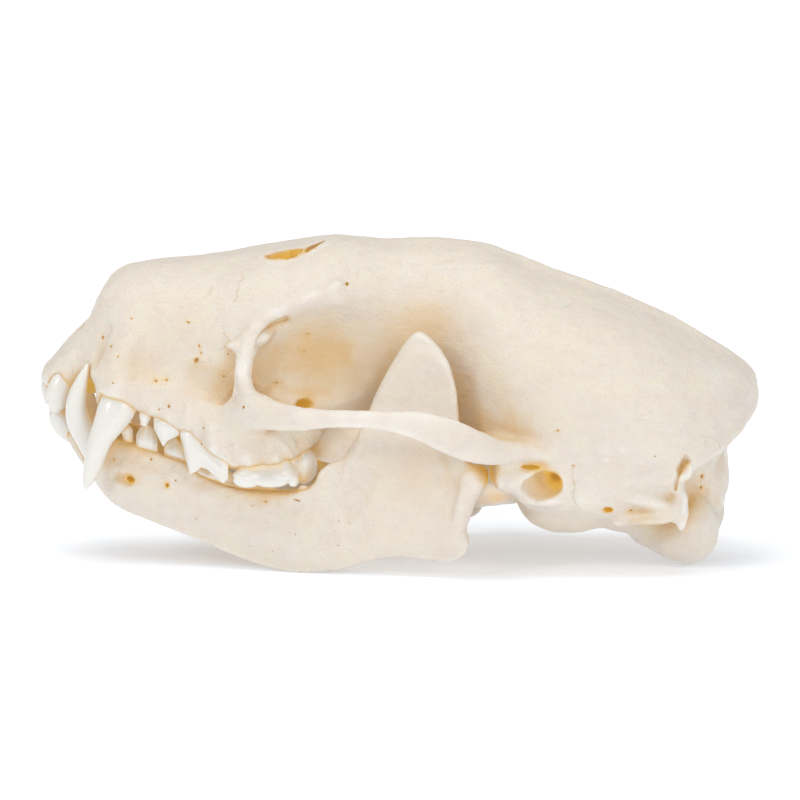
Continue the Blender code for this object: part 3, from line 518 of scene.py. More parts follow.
# The upper molar is wide and low: its plan, then its levels, each with its spread of the plan.
MOLAR_PLAN = (
    (-16.9, -12.4), (-16.4, -13.2), (-15.2, -13.4), (-13.4, -13.1), (-11.6, -13.5), (-10.5, -13.2),
    (-10.0, -12.2), (-9.9, -10.9), (-8.8, -9.6), (-8.6, -7.8), (-10.2, -6.8), (-12.6, -6.9),
    (-14.6, -8.0), (-15.8, -10.0),
)
MOLAR_LEVELS = ((12.6, 0.50), (11.2, 0.74), (10.4, 0.86), (10.05, 0.965), (9.8, 1.0), (9.55, 0.975),
                (9.3, 0.88), (9.15, 0.72))
MOLAR_CENTRE = (-12.7, -10.2)
MOLAR_SLOPE = 0.04
MOLAR_CUSPS = (((-15.3, -12.6, 9.3), (1.5, 0.7, 0.8)), ((-12.8, -12.8, 9.3), (1.9, 0.65, 0.74)),
               ((-10.5, -12.5, 9.3), (0.6, 0.6, 0.7)), ((-14.0, -9.0, 9.5), (1.0, 0.9, 0.8)),
               ((-9.6, -9.9, 10.5), (1.5, 1.8, 1.9)), ((-10.7, -11.4, 11.6), (0.45, 0.5, 1.3)),
               ((-9.7, -10.8, 12.0), (0.4, 0.5, 1.2)))
# Rings along a blade, and the half widths of its root at its end and half way to the neck.
BLADE_RINGS = 40
ROOT_WIDTHS = (0.45, 0.62)
print(len(PEGS), "pegs,", len(BLADES), "blades and a molar on each side")

# %% Teeth from their shapes
def blade(name, side):
    """A cutting tooth, lofted along the jaw from its front to its back."""
    front_y, back_y, root, stations = BLADES[name]
    table = np.array(stations)
    middle = np.linspace(table[0, 0], table[-1, 0], BLADE_RINGS)
    gum, edge, half = (np.interp(middle, table[:, 0], table[:, k]) for k in (1, 2, 3))
    rings = []
    for x, neck, tip, wide, y in zip(middle, gum, edge, half, np.linspace(front_y, back_y, BLADE_RINGS)):
        wall = [(root, ROOT_WIDTHS[0] * wide), ((root + neck) / 2.0, ROOT_WIDTHS[1] * wide)]
        wall += [(neck + share * (tip - neck), width * wide) for share, width in BLADE_PROFILE]
        rings.append([(x, (y - reach) * side, z) for z, reach in wall]
                     + [(x, (y + reach) * side, z) for z, reach in reversed(wall)])
    return skin(rings)


def molar(side):
    """The upper molar's crown: rings of its plan, low toward the cheek and higher at the palate."""
    plan = between(MOLAR_PLAN + MOLAR_PLAN[:1], 4)[:-1]
    rings = []
    for level, spread in MOLAR_LEVELS:
        ring = np.column_stack([MOLAR_CENTRE + (plan - MOLAR_CENTRE) * spread,
                                level + MOLAR_SLOPE * (plan[:, 1] - MOLAR_PLAN[0][1])])
        rings.append(ring * (1, side, 1))
    return [skin(rings)] + [egg(*cusp, side=side) for cusp in MOLAR_CUSPS]


def tooth_bodies(name, side):
    """The closed bodies that make one tooth."""
    if name in PEGS:
        return [rod(PEGS[name], side, up=STANDING, sides=32, power=2.2, steps=8)]
    if name == "upper_molar_1":
        return molar(side)
    bodies = [blade(name, side)]
    if name in INNER_CUSPS:
        bodies.append(egg(*INNER_CUSPS[name], side=side))
    return bodies


TOOTH_GRAIN = 0.075
TOOTH_TRIANGLES = 7000
teeth = {}
for word, side in SIDES.items():
    for name in (*PEGS, *BLADES, "upper_molar_1"):
        tooth = solid(word + "_" + name + "_tooth", tooth_bodies(name, side))
        grow(tooth, TOOTH_GRAIN, 2)
        thin(tooth, TOOTH_TRIANGLES)
        teeth[word + "_" + name] = tooth
tell(str(len(teeth)) + " teeth:", *teeth.values())

# %% [markdown]
# Now the holes of the upper bones: the room for the brain with the great hole behind it, the
# nose with its thin wall down the middle, the ear, and the holes where nerves come out. Two
# holes with ragged edges are worn through the thin bone over the left brow, and only there.

# %% Hollows of the head
BRAIN = (
    (34.0, 0, 7.0, 3.6, 3.3, 3.3), (28.0, 0, 11.0, 8.0, 6.6, 4.4), (21.0, 0, 15.6, 13.4, 9.8, 6.8),
    (12.0, 0, 18.0, 11.6, 10.8, 7.6), (4.0, 0, 21.4, 7.4, 8.8, 6.8), (-2.0, 0, 24.0, 4.4, 5.0, 4.0),
    (-5.0, 0, 24.4, 1.4, 1.6, 1.4),
)
GREAT_HOLE = ((41.0, 0, 6.4, 4.2, 3.7), (35.0, 0, 7.0, 4.2, 3.7), (29.5, 0, 8.4, 4.6, 3.6))
NOSE = ((-39.5, 0, 29.4, 2.8, 3.9), (-36.0, 0, 27.4, 2.9, 3.9), (-33.0, 0, 25.8, 3.0, 3.8),
        (-30.6, 0, 25.0, 3.0, 3.6), (-29.6, 0, 24.7, 2.6, 3.0))
# Way from the nose down to the throat, under the brain.
THROAT = ((-1.0, 0, 10.6, 2.6, 1.6), (-6.0, 0, 12.6, 2.8, 1.8), (-10.0, 0, 15.0, 2.6, 1.8),
          (-14.0, 0, 18.0, 1.8, 1.4))
# One half of the nose behind its opening, beside the wall down the middle.
NOSE_HALF = ((-32.0, -1.9, 24.6, 1.5, 2.9), (-28.0, -2.0, 24.3, 1.6, 2.8), (-23.0, -1.9, 24.0, 1.3, 2.2),
             (-19.0, -1.5, 23.6, 0.7, 1.0))
EAR_HOLE = (((15.4, -16.7, 9.1), (2.0, 1.9, 1.55), -10), ((16.2, -16.3, 9.7), (1.6, 2.1, 1.3), 20))
# The ear's passage inward, the hole below the eye and the hole in the floor of the eye socket.
SIDE_HOLES = (
    ((16.6, -16.0, 10.0, 0.8, 0.7), (17.0, -14.6, 10.2, 0.7, 0.6), (17.2, -12.4, 10.2, 0.5, 0.4)),
    ((-20.6, -13.6, 18.6, 1.0, 1.1), (-17.8, -12.0, 18.4, 1.1, 1.25), (-15.0, -11.4, 18.5, 1.1, 1.2),
     (-12.4, -11.2, 18.6, 1.0, 1.1)),
    ((-8.6, -12.0, 17.1, 0.9, 0.5), (-10.0, -9.4, 17.0, 0.95, 0.55), (-12.4, -7.6, 16.9, 0.5, 0.4)),
)
SINUS = ((-11.2, -4.6, 29.2), (3.6, 2.6, 2.3))
# The two holes worn into the left sinus.
WORN_HOLES = (
    ((-13.8, -4.4, 31.9, 0.12, 1.4), (-13.0, -4.9, 31.9, 0.65, 1.5), (-12.3, -4.6, 31.9, 0.6, 1.5),
     (-11.5, -5.0, 31.9, 0.9, 1.5), (-10.8, -4.6, 31.9, 0.8, 1.5), (-10.35, -4.5, 31.9, 0.5, 1.4)),
    ((-9.45, -4.7, 31.9, 0.3, 1.4), (-9.0, -4.0, 32.0, 0.42, 1.4), (-8.3, -3.1, 32.0, 0.28, 1.4),
     (-7.6, -1.9, 32.0, 0.06, 1.2)),
)
HOLE_GRAIN = 0.2


def holes(side):
    """The ear's opening and the holes for nerves on one side."""
    return [egg(*part, side) for part in EAR_HOLE] + [rod(line, side) for line in SIDE_HOLES]


wide_hollows = [rod(GREAT_HOLE), rod(NOSE), rod(THROAT)] + both(lambda side: [rod(NOSE_HALF, side)])
drill(core, wide_hollows, grain=CORE_GRAIN)
drill(core, [egg(*SINUS)] + both(holes), grain=HOLE_GRAIN)
grow(core, FINE_GRAIN, 2)
tell("with its hollows:", core)

# %% Sockets for the teeth
SOCKET_GAP = 0.06
SOCKET_GRAIN = 0.14


def sockets(bone, names):
    """Cut the room for some teeth, a hair larger than the teeth themselves."""
    bm = bmesh.new()
    for name in names:
        bm.from_mesh(teeth[name].data)
    mesh = bpy.data.meshes.new("sockets")
    bm.to_mesh(mesh)
    bm.free()
    tool = put("sockets", mesh)
    swell = tool.modifiers.new("swell", "DISPLACE")
    swell.mid_level = 0.0
    swell.strength = SOCKET_GAP * MM
    grow(tool, SOCKET_GRAIN, 0)
    carve(bone, tool)


print("a socket is", SOCKET_GAP, "mm wider all round than its tooth")

# %% [markdown]
# Each half of the lower jaw starts as a flat plate with the jaw's outline, seen from the side.
# Rods swell it below the teeth and along its edges. Then its points are moved sideways, so that
# the two halves bow out from the chin, and a roller is added across the back for the jaw joint.

# %% Lower jaw
JAW_UNDER = (
    (-35.3, 13.6), (-34.8, 12.3), (-33.6, 10.4), (-32.4, 8.9), (-31.1, 7.8), (-29.9, 6.6), (-28.6, 5.4),
    (-27.0, 4.6), (-23.8, 3.6), (-20.6, 2.5), (-15.2, 0.5), (-11.0, -0.4), (-7.8, -0.3), (-4.6, 0.3),
    (-0.8, 1.5), (2.9, 1.5), (5.2, 1.3), (7.2, 1.8), (8.1, 3.2),
)
JAW_BACK = (
    (7.6, 5.0), (7.8, 6.4), (8.8, 7.8), (9.4, 9.2), (8.2, 11.4), (7.3, 13.4), (7.0, 16.4), (6.7, 19.0),
    (6.1, 21.6), (5.2, 23.2), (4.0, 24.5), (2.7, 25.3), (1.3, 24.1), (0.1, 22.2), (-1.1, 19.8),
    (-1.9, 17.9), (-2.6, 15.9), (-3.7, 13.3), (-5.2, 11.8), (-6.8, 11.1),
)
JAW_GUM = (
    (-7.8, 10.2), (-8.5, 8.8), (-9.8, 8.3), (-12.0, 7.95), (-16.8, 8.3), (-19.6, 9.2), (-22.4, 10.8),
    (-24.4, 11.3), (-26.2, 11.9), (-28.4, 12.5), (-30.0, 12.8), (-31.4, 12.4), (-33.4, 13.0),
)
JAW_SWELLINGS = (
    (-31.6, 0.2, 11.0, 1.6, 2.0), (-30.2, 0.3, 10.0, 2.1, 2.8), (-27.6, 0, 8.2, 2.3, 3.4),
    (-23.0, 0, 7.0, 2.2, 3.6), (-18.0, 0, 5.2, 2.2, 3.4), (-12.0, 0, 3.8, 2.2, 3.8),
    (-6.0, 0, 4.0, 2.0, 3.8), (0.0, 0, 3.8, 1.6, 2.1), (5.6, 0, 3.2, 1.3, 1.6),
)
BLADE_FRONT = ((-6.2, 0.0, 8.0, 1.5, 1.3), (-4.0, 0.0, 11.6, 1.25, 1.2), (-1.8, 0.0, 16.0, 1.15, 1.1),
               (0.2, 0.0, 20.6, 1.15, 1.0), (2.4, 0.0, 23.6, 1.2, 1.0), (4.0, 0.0, 23.0, 1.15, 0.9))
BLADE_BACK = ((8.4, 0, 10.6, 1.4, 1.0), (7.6, 0, 8.0, 1.4, 1.0), (6.8, 0, 5.6, 1.3, 1.1),
              (6.4, 0, 3.2, 1.3, 1.3))
JAW_ROLLER = ((8.8, -12.2, 10.0, 1.2, 1.1), (8.6, -14.2, 10.0, 1.4, 1.4), (8.5, -16.3, 9.95, 1.4, 1.5))
JAW_NECK = ((7.0, -15.8, 6.0, 1.0, 1.1), (7.6, -16.0, 8.0, 1.1, 1.2), (8.3, -16.2, 9.8, 1.2, 1.2))
# Half the thickness of the blade, and what the tooth row adds to it from some x forward.
BLADE_HALF, TOOTH_ROW_EXTRA = 1.0, 0.7
THICKENS_FROM, THICKENS_OVER = -6.0, 6.0
# Seen from above, the jaw bends at two places: their x, their distance from the midline, the slopes.
CHIN_BEND, CHIN_BOW = -31.0, 4.6
BLADE_BEND, BLADE_BOW = -8.0, 12.2
CHIN_SLOPE, TOOTH_ROW_SLOPE, BLADE_SLOPE = 0.58, 0.33, 0.22
WIDEST_BOW = 15.6
# The chewing muscle's field: its middle, half length and half height, its lean back above a level,
# and its depths outside and inside.
FIELD_X, FIELD_Z = 1.2, 10.6
FIELD_LONG, FIELD_HIGH = 5.4, 9.6
FIELD_LEAN, LEANS_FROM = 0.16, 9.0
MUSCLE_DEPTHS = (0.42, 0.15)
# Lean of the blade inward above a level, and half the gap between the halves at the chin.
BLADE_LEAN, BLADE_FROM = 0.05, 12.0
CHIN_GAP = 0.12
PLATE_GRAIN = 0.28
JAW_GRAIN = 0.24
print("outline of a jaw half:", len(JAW_UNDER + JAW_BACK + JAW_GUM), "points")

# %% Jaw halves from the outline
def half_thickness(x):
    """Half the jaw's thickness: stout under the teeth, thin in the blade behind them."""
    return BLADE_HALF + TOOTH_ROW_EXTRA * np.clip((THICKENS_FROM - x) / THICKENS_OVER, 0.0, 1.0)


def bow(x):
    """How far the middle of the jaw stands from the midline of the head."""
    front = CHIN_BOW + (x - CHIN_BEND) * np.where(x < CHIN_BEND, CHIN_SLOPE, TOOTH_ROW_SLOPE)
    back = np.minimum(BLADE_BOW + (x - BLADE_BEND) * BLADE_SLOPE, WIDEST_BOW)
    return np.where(x < BLADE_BEND, front, back)


def jaw(name, side):
    """One half of the lower jaw, without its sockets."""
    outline = between(JAW_UNDER + JAW_BACK + JAW_GUM + JAW_UNDER[:1], 5)[:-1]
    x, z = outline.T
    plate = skin([np.column_stack([x, -half_thickness(x), z]), np.column_stack([x, half_thickness(x), z])])
    made = solid(name, [plate, rod(JAW_SWELLINGS), rod(BLADE_FRONT, up=STANDING),
                        rod(BLADE_BACK, up=STANDING)])
    grow(made, PLATE_GRAIN, 6)
    points = np.array([v.co[:] for v in made.data.vertices]) / MM - TABLE_SHIFT
    x, y, z = points.T
    along = (x - FIELD_X - FIELD_LEAN * (z - LEANS_FROM)) / FIELD_LONG
    muscle = np.exp(-along ** 6 - ((z - FIELD_Z) / FIELD_HIGH) ** 6)
    y = np.where(y < 0, y + MUSCLE_DEPTHS[0] * muscle, y - MUSCLE_DEPTHS[1] * muscle)
    y = y - bow(x) + BLADE_LEAN * np.maximum(z - BLADE_FROM, 0.0)
    y = np.minimum(y, -CHIN_GAP) * side
    made.data.vertices.foreach_set("co", metres(np.column_stack([x, y, z])).ravel())
    if side < 0:
        made.data.flip_normals()
    join(made, [rod(JAW_ROLLER, side), rod(JAW_NECK, side, up=STANDING)])
    grow(made, JAW_GRAIN, 5)
    return made


jaws = {word: jaw(word + "_jaw_bone", side) for word, side in SIDES.items()}
tell("both jaw halves:", *jaws.values())

# %% [markdown]
# Now the relief, worked as a modeller works clay: a stroke pushes the skin out or in along a
# line, most in the middle and fading to its edge. Roots of the teeth swell the jaw over them,
# muscles leave lines and shallow fields, and a slow noise takes away the machined evenness.

# %% Strokes on clay
def read_points(mesh):
    """Points and normals of a mesh as arrays, in metres."""
    points = np.empty(len(mesh.vertices) * 3)
    normals = np.empty(len(mesh.vertices) * 3)
    mesh.vertices.foreach_get("co", points)
    mesh.vertices.foreach_get("normal", normals)
    return points.reshape(-1, 3), normals.reshape(-1, 3)


# How far beyond its radius a stroke looks for skin in millimetres, how much a distance across the
# head counts beside one along the skin, and how far a point has to face the side to take part.
STROKE_MARGIN = 1.5
DEPTH_SHARE = 0.4
LEAST_FACING, FULL_FACING = 0.05, 0.3


class Clay:
    """The skin of one bone, ready for strokes on its left and right side alike."""

    def __init__(self, thing):
        self.thing = thing
        points, self.normals = read_points(thing.data)
        self.points = points / MM - TABLE_SHIFT

    def stroke(self, path, radius, height, sides=(1, -1)):
        """Push the skin by a height in millimetres along a line of x, y, z."""
        path = np.array(path, float)
        for side in sides:
            folded = self.points * (1, side, 1)
            low = path.min(0) - radius - STROKE_MARGIN
            high = path.max(0) + radius + STROKE_MARGIN
            facing = -self.normals[:, 1] * side
            near = np.all((folded > low) & (folded < high), axis=1) & (facing > LEAST_FACING)
            if len(path) > 1:
                starts, ends = path[:-1], path[1:]
            else:
                starts, ends = path, path + 0.001
            here = folded[near]
            best = np.full(len(here), np.inf)
            for a, b in zip(starts, ends):
                share = np.clip(((here - a) @ (b - a)) / ((b - a) @ (b - a)), 0.0, 1.0)
                off = here - (a + share[:, None] * (b - a))
                best = np.minimum(best, off[:, 0] ** 2 + off[:, 2] ** 2 + (DEPTH_SHARE * off[:, 1]) ** 2)
            fall = np.clip(1.0 - best / radius ** 2, 0.0, 1.0) ** 2
            fall *= np.clip(facing[near] / FULL_FACING, 0.0, 1.0)
            self.points[near] += self.normals[near] * (fall * height)[:, None]

    def pull(self, middle, radius, way):
        """Draw the skin round a point of either side into a tip."""
        for side in (1, -1):
            far = ((self.points * (1, side, 1) - middle) ** 2).sum(1) / radius ** 2
            self.points += np.clip(1.0 - far, 0.0, 1.0)[:, None] ** 2 * way * np.array((1, side, 1))

    def waver(self, size, height, seed):
        """Slow bumps and dips of about a size and height."""
        shift = Vector((seed, 2.7 * seed, 5.1 * seed))
        lift = np.array([noise.noise(Vector(p) / size + shift) for p in self.points.tolist()])
        self.points += self.normals * (lift * height)[:, None]

    def done(self):
        """Put the points back."""
        self.thing.data.vertices.foreach_set("co", metres(self.points).ravel())
        self.thing.data.update()


print("clay can be stroked, pulled and made to waver")

# %% Relief of the head
# Strokes: the line as x, y, z, then the radius and the height, which is below zero for a groove.
HEAD_STROKES = (
    # Groove in front of the canine's root, and the swelling over the root.
    (((-30.3, -7.6, 24.6), (-30.9, -7.4, 23.0), (-31.5, -7.0, 21.3), (-31.5, -6.9, 19.8),
      (-31.0, -7.2, 18.3)), 0.75, -0.38),
    (((-28.9, -9.6, 19.0), (-28.6, -9.4, 21.6), (-27.6, -8.8, 23.8)), 1.9, 0.34),
    (((-31.0, -8.9, 17.5), (-29.8, -9.6, 17.0), (-28.4, -10.2, 16.4)), 0.7, -0.55),
    (((-26.0, -9.2, 19.2), (-25.2, -9.2, 21.0)), 1.4, -0.14),
    (((-33.4, -5.4, 20.6), (-33.6, -5.0, 22.4)), 1.0, -0.12),
    # Field in front of the hole below the eye, and the hole's trough.
    (((-20.4, -10.6, 19.6), (-18.0, -11.4, 19.0), (-17.0, -11.8, 18.6)), 2.4, -0.55),
    (((-22.6, -9.8, 22.0),), 3.0, -0.20),
    # Roots of the cheek teeth, with dips between them.
    (((-25.6, -9.6, 16.2), (-25.2, -9.4, 17.6)), 0.9, 0.22),
    (((-23.4, -10.2, 15.8), (-23.2, -9.9, 17.2)), 0.9, 0.22),
    (((-21.6, -11.2, 15.2), (-21.4, -10.8, 16.8)), 0.9, 0.25),
    (((-18.7, -12.4, 12.8), (-18.9, -12.2, 14.6)), 1.0, 0.30),
    (((-20.1, -11.8, 13.6), (-20.2, -11.6, 15.0)), 0.7, -0.22),
    (((-17.0, -12.8, 11.6), (-17.2, -12.8, 13.2)), 0.7, -0.30),
    (((-15.3, -13.5, 10.6), (-15.3, -13.5, 12.4)), 1.0, 0.22),
    (((-11.9, -13.5, 10.6), (-12.1, -13.4, 12.0)), 0.9, 0.18),
    (((-13.6, -13.4, 10.8), (-13.8, -13.0, 13.6)), 0.8, -0.26),
    (((-10.6, -12.6, 11.6), (-11.6, -13.0, 13.4), (-12.6, -13.0, 14.4)), 0.6, 0.2),
    (((-9.6, -12.2, 12.8), (-10.6, -12.6, 14.6)), 0.7, -0.24),
    (((-18.6, -10.9, 23.8), (-17.4, -11.4, 24.1), (-16.4, -11.6, 24.4)), 0.5, 0.22),
    (((-20.5, -11.8, 13.3), (-24.0, -10.4, 15.8), (-26.5, -9.8, 16.9)), 0.6, 0.12),
    # Ridge of the brow, the knob that ends the eye rim, and the line where the chewing muscle begins.
    (((-14.7, -10.2, 25.3), (-13.3, -9.8, 26.5), (-10.1, -9.2, 27.8), (-6.1, -8.4, 29.35)), 0.9, 0.22),
    (((-4.4, -8.0, 30.8), (-3.5, -6.6, 32.6)), 0.8, 0.22),
    (((-3.0, -6.9, 31.6), (3.0, -6.6, 31.2), (8.0, -6.2, 31.2), (11.0, -5.6, 31.2)), 0.8, 0.14),
    (((10.8, -5.6, 31.2), (19.2, -6.4, 27.9), (27.6, -6.2, 24.3), (34.6, -5.0, 21.0)), 0.7, -0.07),
    # Faint upright swell in the eye's inner wall, and the slit of the tear duct.
    (((-6.2, -8.6, 29.0), (-5.6, -8.0, 25.5), (-4.2, -8.0, 21.0)), 1.5, 0.22),
    (((-14.3, -10.6, 23.2), (-14.0, -10.4, 24.3), (-12.8, -10.2, 25.2), (-11.4, -9.8, 25.7)), 0.7, -0.55),
    (((-12.6, -10.4, 18.2),), 1.6, 0.3),
    # Ear wall: upright groove, shelf, groove before the spike and the field below the shelf.
    (((19.0, -16.2, 10.0), (19.0, -16.0, 8.2), (19.1, -15.4, 6.4)), 0.6, -0.28),
    (((30.7, -14.6, 12.0), (30.2, -14.9, 11.2)), 0.7, -0.6),
    (((30.6, -14.4, 12.2), (30.0, -14.8, 11.0), (29.6, -14.8, 9.8), (29.5, -14.8, 8.6)), 0.5, -0.4),
    (((30.9, -14.4, 11.4), (30.7, -14.0, 9.0), (30.2, -13.4, 6.4)), 0.45, 0.3),
    (((24.0, -15.8, 9.6), (26.2, -15.6, 10.4), (28.2, -14.8, 11.0)), 0.6, 0.16),
    (((25.2, -15.4, 9.4), (27.6, -14.8, 9.0), (28.8, -14.4, 8.2)), 0.8, -0.24),
    # Lower of the two pale lines, and the recess under it.
    (((23.6, -13.8, 5.9), (26.0, -13.6, 6.2), (27.6, -13.2, 6.3), (29.4, -12.8, 5.6)), 0.45, 0.28),
    (((24.6, -13.0, 5.2), (27.2, -12.0, 5.2), (29.2, -11.4, 4.8)), 0.9, -0.4),
    # Crease round the condyle, and the ball of the condyle itself.
    (((30.4, -9.0, 6.6), (31.2, -8.6, 8.0), (32.4, -8.2, 7.7), (33.2, -7.8, 6.8), (33.8, -7.4, 5.6)),
      0.7, -0.45),
    (((31.2, -9.2, 4.6),), 3.0, 0.4), (((28.6, -9.0, 2.6),), 1.8, 0.15),
    (((13.4, -16.2, 12.6), (16.6, -16.2, 12.4)), 0.6, 0.18),
    (((13.0, -16.0, 7.6), (15.2, -16.2, 7.2), (17.6, -16.0, 7.8)), 0.7, 0.22),
    (((22.0, -16.4, 11.6), (26.6, -15.8, 11.4)), 2.4, -0.18),
    # Two small raised spots on the wall behind the ear.
    (((23.8, -15.0, 13.2), (24.3, -15.0, 13.4)), 0.5, 0.16), (((22.2, -15.2, 12.2),), 0.4, 0.12),
)
# The tip of the spike beside the great hole: middle, radius and the way it is drawn.
SPIKE_TIP = ((30.2, -12.4, 5.2), 1.15, (-0.15, 0.0, -0.8))
# Slow unevenness of the skin: size and height of the bumps, and a seed.
HEAD_WAVERS = ((4.0, 0.15, 1.0), (1.4, 0.07, 2.0))
JAW_WAVERS = ((3.4, 0.10, 3.0), (1.3, 0.05, 4.0))


def work(thing, strokes, wavers, pulls=()):
    """All the relief of one bone."""
    clay = Clay(thing)
    for stroke in strokes:
        clay.stroke(*stroke)
    for pull in pulls:
        clay.pull(*pull)
    for waver in wavers:
        clay.waver(*waver)
    clay.done()
    tell(str(len(strokes)) + " strokes on " + thing.name + ":", thing)


work(core, HEAD_STROKES, HEAD_WAVERS, [SPIKE_TIP])

# %% Relief of the jaws
JAW_STROKES = (
    # Front edge of the muscle's field, and the step of its lower edge.
    (((-3.4, -14.6, 13.0), (-4.8, -14.6, 10.4), (-5.6, -14.6, 7.4), (-5.8, -14.8, 4.8),
      (-4.6, -15.0, 2.6)), 0.9, 0.22),
    (((-2.6, -14.6, 9.8), (-3.8, -14.6, 6.6), (-3.4, -14.8, 4.2)), 1.6, -0.30),
    # Thick pale tip of the blade.
    (((0.8, -15.6, 21.6), (2.2, -15.4, 23.2), (3.8, -15.4, 23.0), (5.2, -15.6, 22.0)), 0.9, 0.14),
    (((0.0, -15.6, 19.4), (1.8, -15.6, 20.6), (3.2, -15.6, 20.5), (5.3, -15.6, 19.8)), 1.3, -0.2),
    # Back edge of the muscle's field, beside the neck of the roller.
    (((5.6, -16.0, 12.4), (6.4, -16.0, 11.0), (6.3, -16.2, 9.0), (5.8, -16.2, 6.4)), 1.0, -0.3),
    (((7.7, -16.2, 10.6), (7.4, -16.2, 8.4), (7.2, -16.2, 6.0)), 0.6, 0.14),
    # Swellings over the roots and the trough in front of the larger nerve hole.
    (((-30.8, -7.4, 10.4), (-29.6, -7.6, 7.6)), 1.8, 0.25),
    (((-29.3, -7.8, 8.9), (-28.2, -8.0, 8.6)), 0.85, -0.5), (((-26.4, -8.0, 11.0),), 1.0, 0.2),
    (((-23.2, -9.2, 9.4),), 1.1, 0.2), (((-19.6, -10.2, 7.6),), 1.2, 0.2),
    (((-13.4, -12.6, 6.2),), 1.4, 0.2), (((-16.6, -11.6, 6.6),), 1.0, -0.15),
    (((-21.0, -9.6, 6.4), (-12.0, -12.8, 4.8)), 1.6, -0.15),
    # Roughened corner of the jaw.
    (((5.6, -16.4, 3.6),), 1.6, 0.15), (((3.0, -16.0, 3.4),), 1.2, -0.12),
)
for made in jaws.values():
    work(made, JAW_STROKES, JAW_WAVERS)

# %% [markdown]
# The finest things are cut last, because a remesh would close them: the sockets of the teeth,
# holes for blood vessels and nerves, slits, the wavy seams where bones met, and one hairline
# crack in the rim at the back of the left side. A ray finds the skin for each of them.

# %% Where the pits, slits and seams are
bones = {"cranium": core, **{word + "_jaw": made for word, made in jaws.items()}}
BONE_TRIANGLES = {"cranium": 192000, "left_jaw": 90000, "right_jaw": 90000}
# Pits: x, z, half length along X, half height, depth, turn in degrees.
PIT_SIZE = 0.85
HEAD_PITS = (
    (-30.8, 23.4, 0.12, 0.2, 0.3, 0), (-29.8, 22.7, 0.12, 0.12, 0.25, 0), (-29.0, 21.8, 0.1, 0.1, 0.2, 0),
    (-27.7, 25.6, 0.08, 0.08, 0.2, 0), (-29.5, 19.1, 0.1, 0.1, 0.2, 0), (-25.0, 19.3, 0.14, 0.16, 0.3, 0),
    (-23.9, 19.4, 0.1, 0.14, 0.25, 0), (-21.7, 25.4, 0.2, 0.1, 0.25, 20),
    (-20.8, 21.5, 0.26, 0.34, 0.5, 30), (-20.5, 23.0, 0.1, 0.16, 0.3, 0),
    (-20.3, 22.3, 0.1, 0.1, 0.25, 0), (-23.6, 16.8, 0.16, 0.22, 0.3, 0),
    (-17.4, 22.3, 0.1, 0.14, 0.25, 0), (-17.9, 19.9, 0.16, 0.12, 0.3, 0), (-19.9, 14.7, 0.1, 0.1, 0.2, 0),
    (-24.6, 16.4, 0.1, 0.1, 0.2, 0), (-15.5, 17.4, 0.16, 0.2, 0.35, 0), (-5.1, 29.5, 0.2, 0.24, 0.5, 0),
    (-12.4, 19.2, 0.2, 0.1, 0.3, -30), (-13.3, 18.6, 0.5, 0.14, 0.4, 6), (-9.2, 24.2, 0.2, 0.08, 0.2, 0),
    (-9.6, 22.4, 0.12, 0.12, 0.2, 0), (22.5, 6.8, 0.6, 0.42, 1.0, 10), (17.3, 15.3, 0.12, 0.1, 0.2, 0),
    (18.9, 11.6, 0.14, 0.1, 0.2, 0), (32.0, 9.4, 0.16, 0.28, 0.5, 0), (31.9, 8.2, 0.14, 0.24, 0.4, 0),
    (24.8, 6.6, 0.2, 0.1, 0.3, 0), (27.4, 12.6, 0.12, 0.08, 0.2, 0),
)
# The slit over the ear hole is a longer pit, one on each side.
HEAD_SLITS = ((14.5, 11.45, 1.25, 0.3, 0.9, 4),)
JAW_PITS = (
    (-27.8, 8.6, 0.55, 0.4, 1.4, 12), (-23.9, 8.2, 0.2, 0.26, 0.8, 0), (-23.0, 8.75, 0.12, 0.12, 0.3, 0),
    (-20.8, 4.8, 0.12, 0.08, 0.2, 0), (-10.1, 7.3, 0.5, 0.1, 0.3, 10), (-14.8, 6.5, 0.1, 0.08, 0.2, 0),
    (-10.2, 3.8, 0.08, 0.08, 0.15, 0), (-15.1, 2.2, 0.1, 0.08, 0.15, 0),
    (-12.7, 1.8, 0.08, 0.08, 0.15, 0), (-13.4, 7.0, 0.2, 0.08, 0.2, 0), (-5.6, 5.4, 0.08, 0.08, 0.15, 0),
    (-5.7, 2.8, 0.1, 0.08, 0.15, 0), (-4.5, 5.1, 0.08, 0.08, 0.15, 0), (-29.6, 10.6, 0.12, 0.1, 0.2, 0),
    (-25.6, 10.8, 0.12, 0.14, 0.3, 0),
)
# Seams: half width of the groove, then the line over the skin as x, z.
HEAD_SEAMS = (
    (0.07, ((-15.3, 30.8), (-15.9, 30.6), (-16.2, 30.2), (-16.0, 29.8), (-16.5, 29.4), (-16.4, 28.9),
            (-16.7, 28.5), (-16.5, 28.1), (-16.9, 27.6))),
    (0.05, ((-20.0, 27.9), (-19.4, 28.4), (-19.3, 28.9))),
    (0.14, ((-14.5, 23.2), (-14.4, 23.9), (-13.9, 24.7), (-13.0, 25.3), (-12.2, 25.6), (-11.4, 25.8))),
    (0.06, ((-17.9, 24.4), (-17.3, 23.6), (-17.8, 23.2), (-17.0, 23.0))),
    (0.06, ((19.0, 11.4), (18.8, 10.4), (19.1, 9.4), (18.9, 8.4), (19.2, 7.4))),
    (0.16, ((30.75, 11.8), (30.3, 11.4), (29.95, 10.7), (29.65, 9.8), (29.5, 8.9))),
)
CRACK = (0.05, ((32.0, 14.6), (32.6, 14.4), (33.2, 14.1), (33.8, 13.6), (34.1, 13.0), (34.4, 12.5),
                (34.9, 12.1)))
print(len(HEAD_PITS + JAW_PITS), "pits and", len(HEAD_SEAMS), "seams on each side")

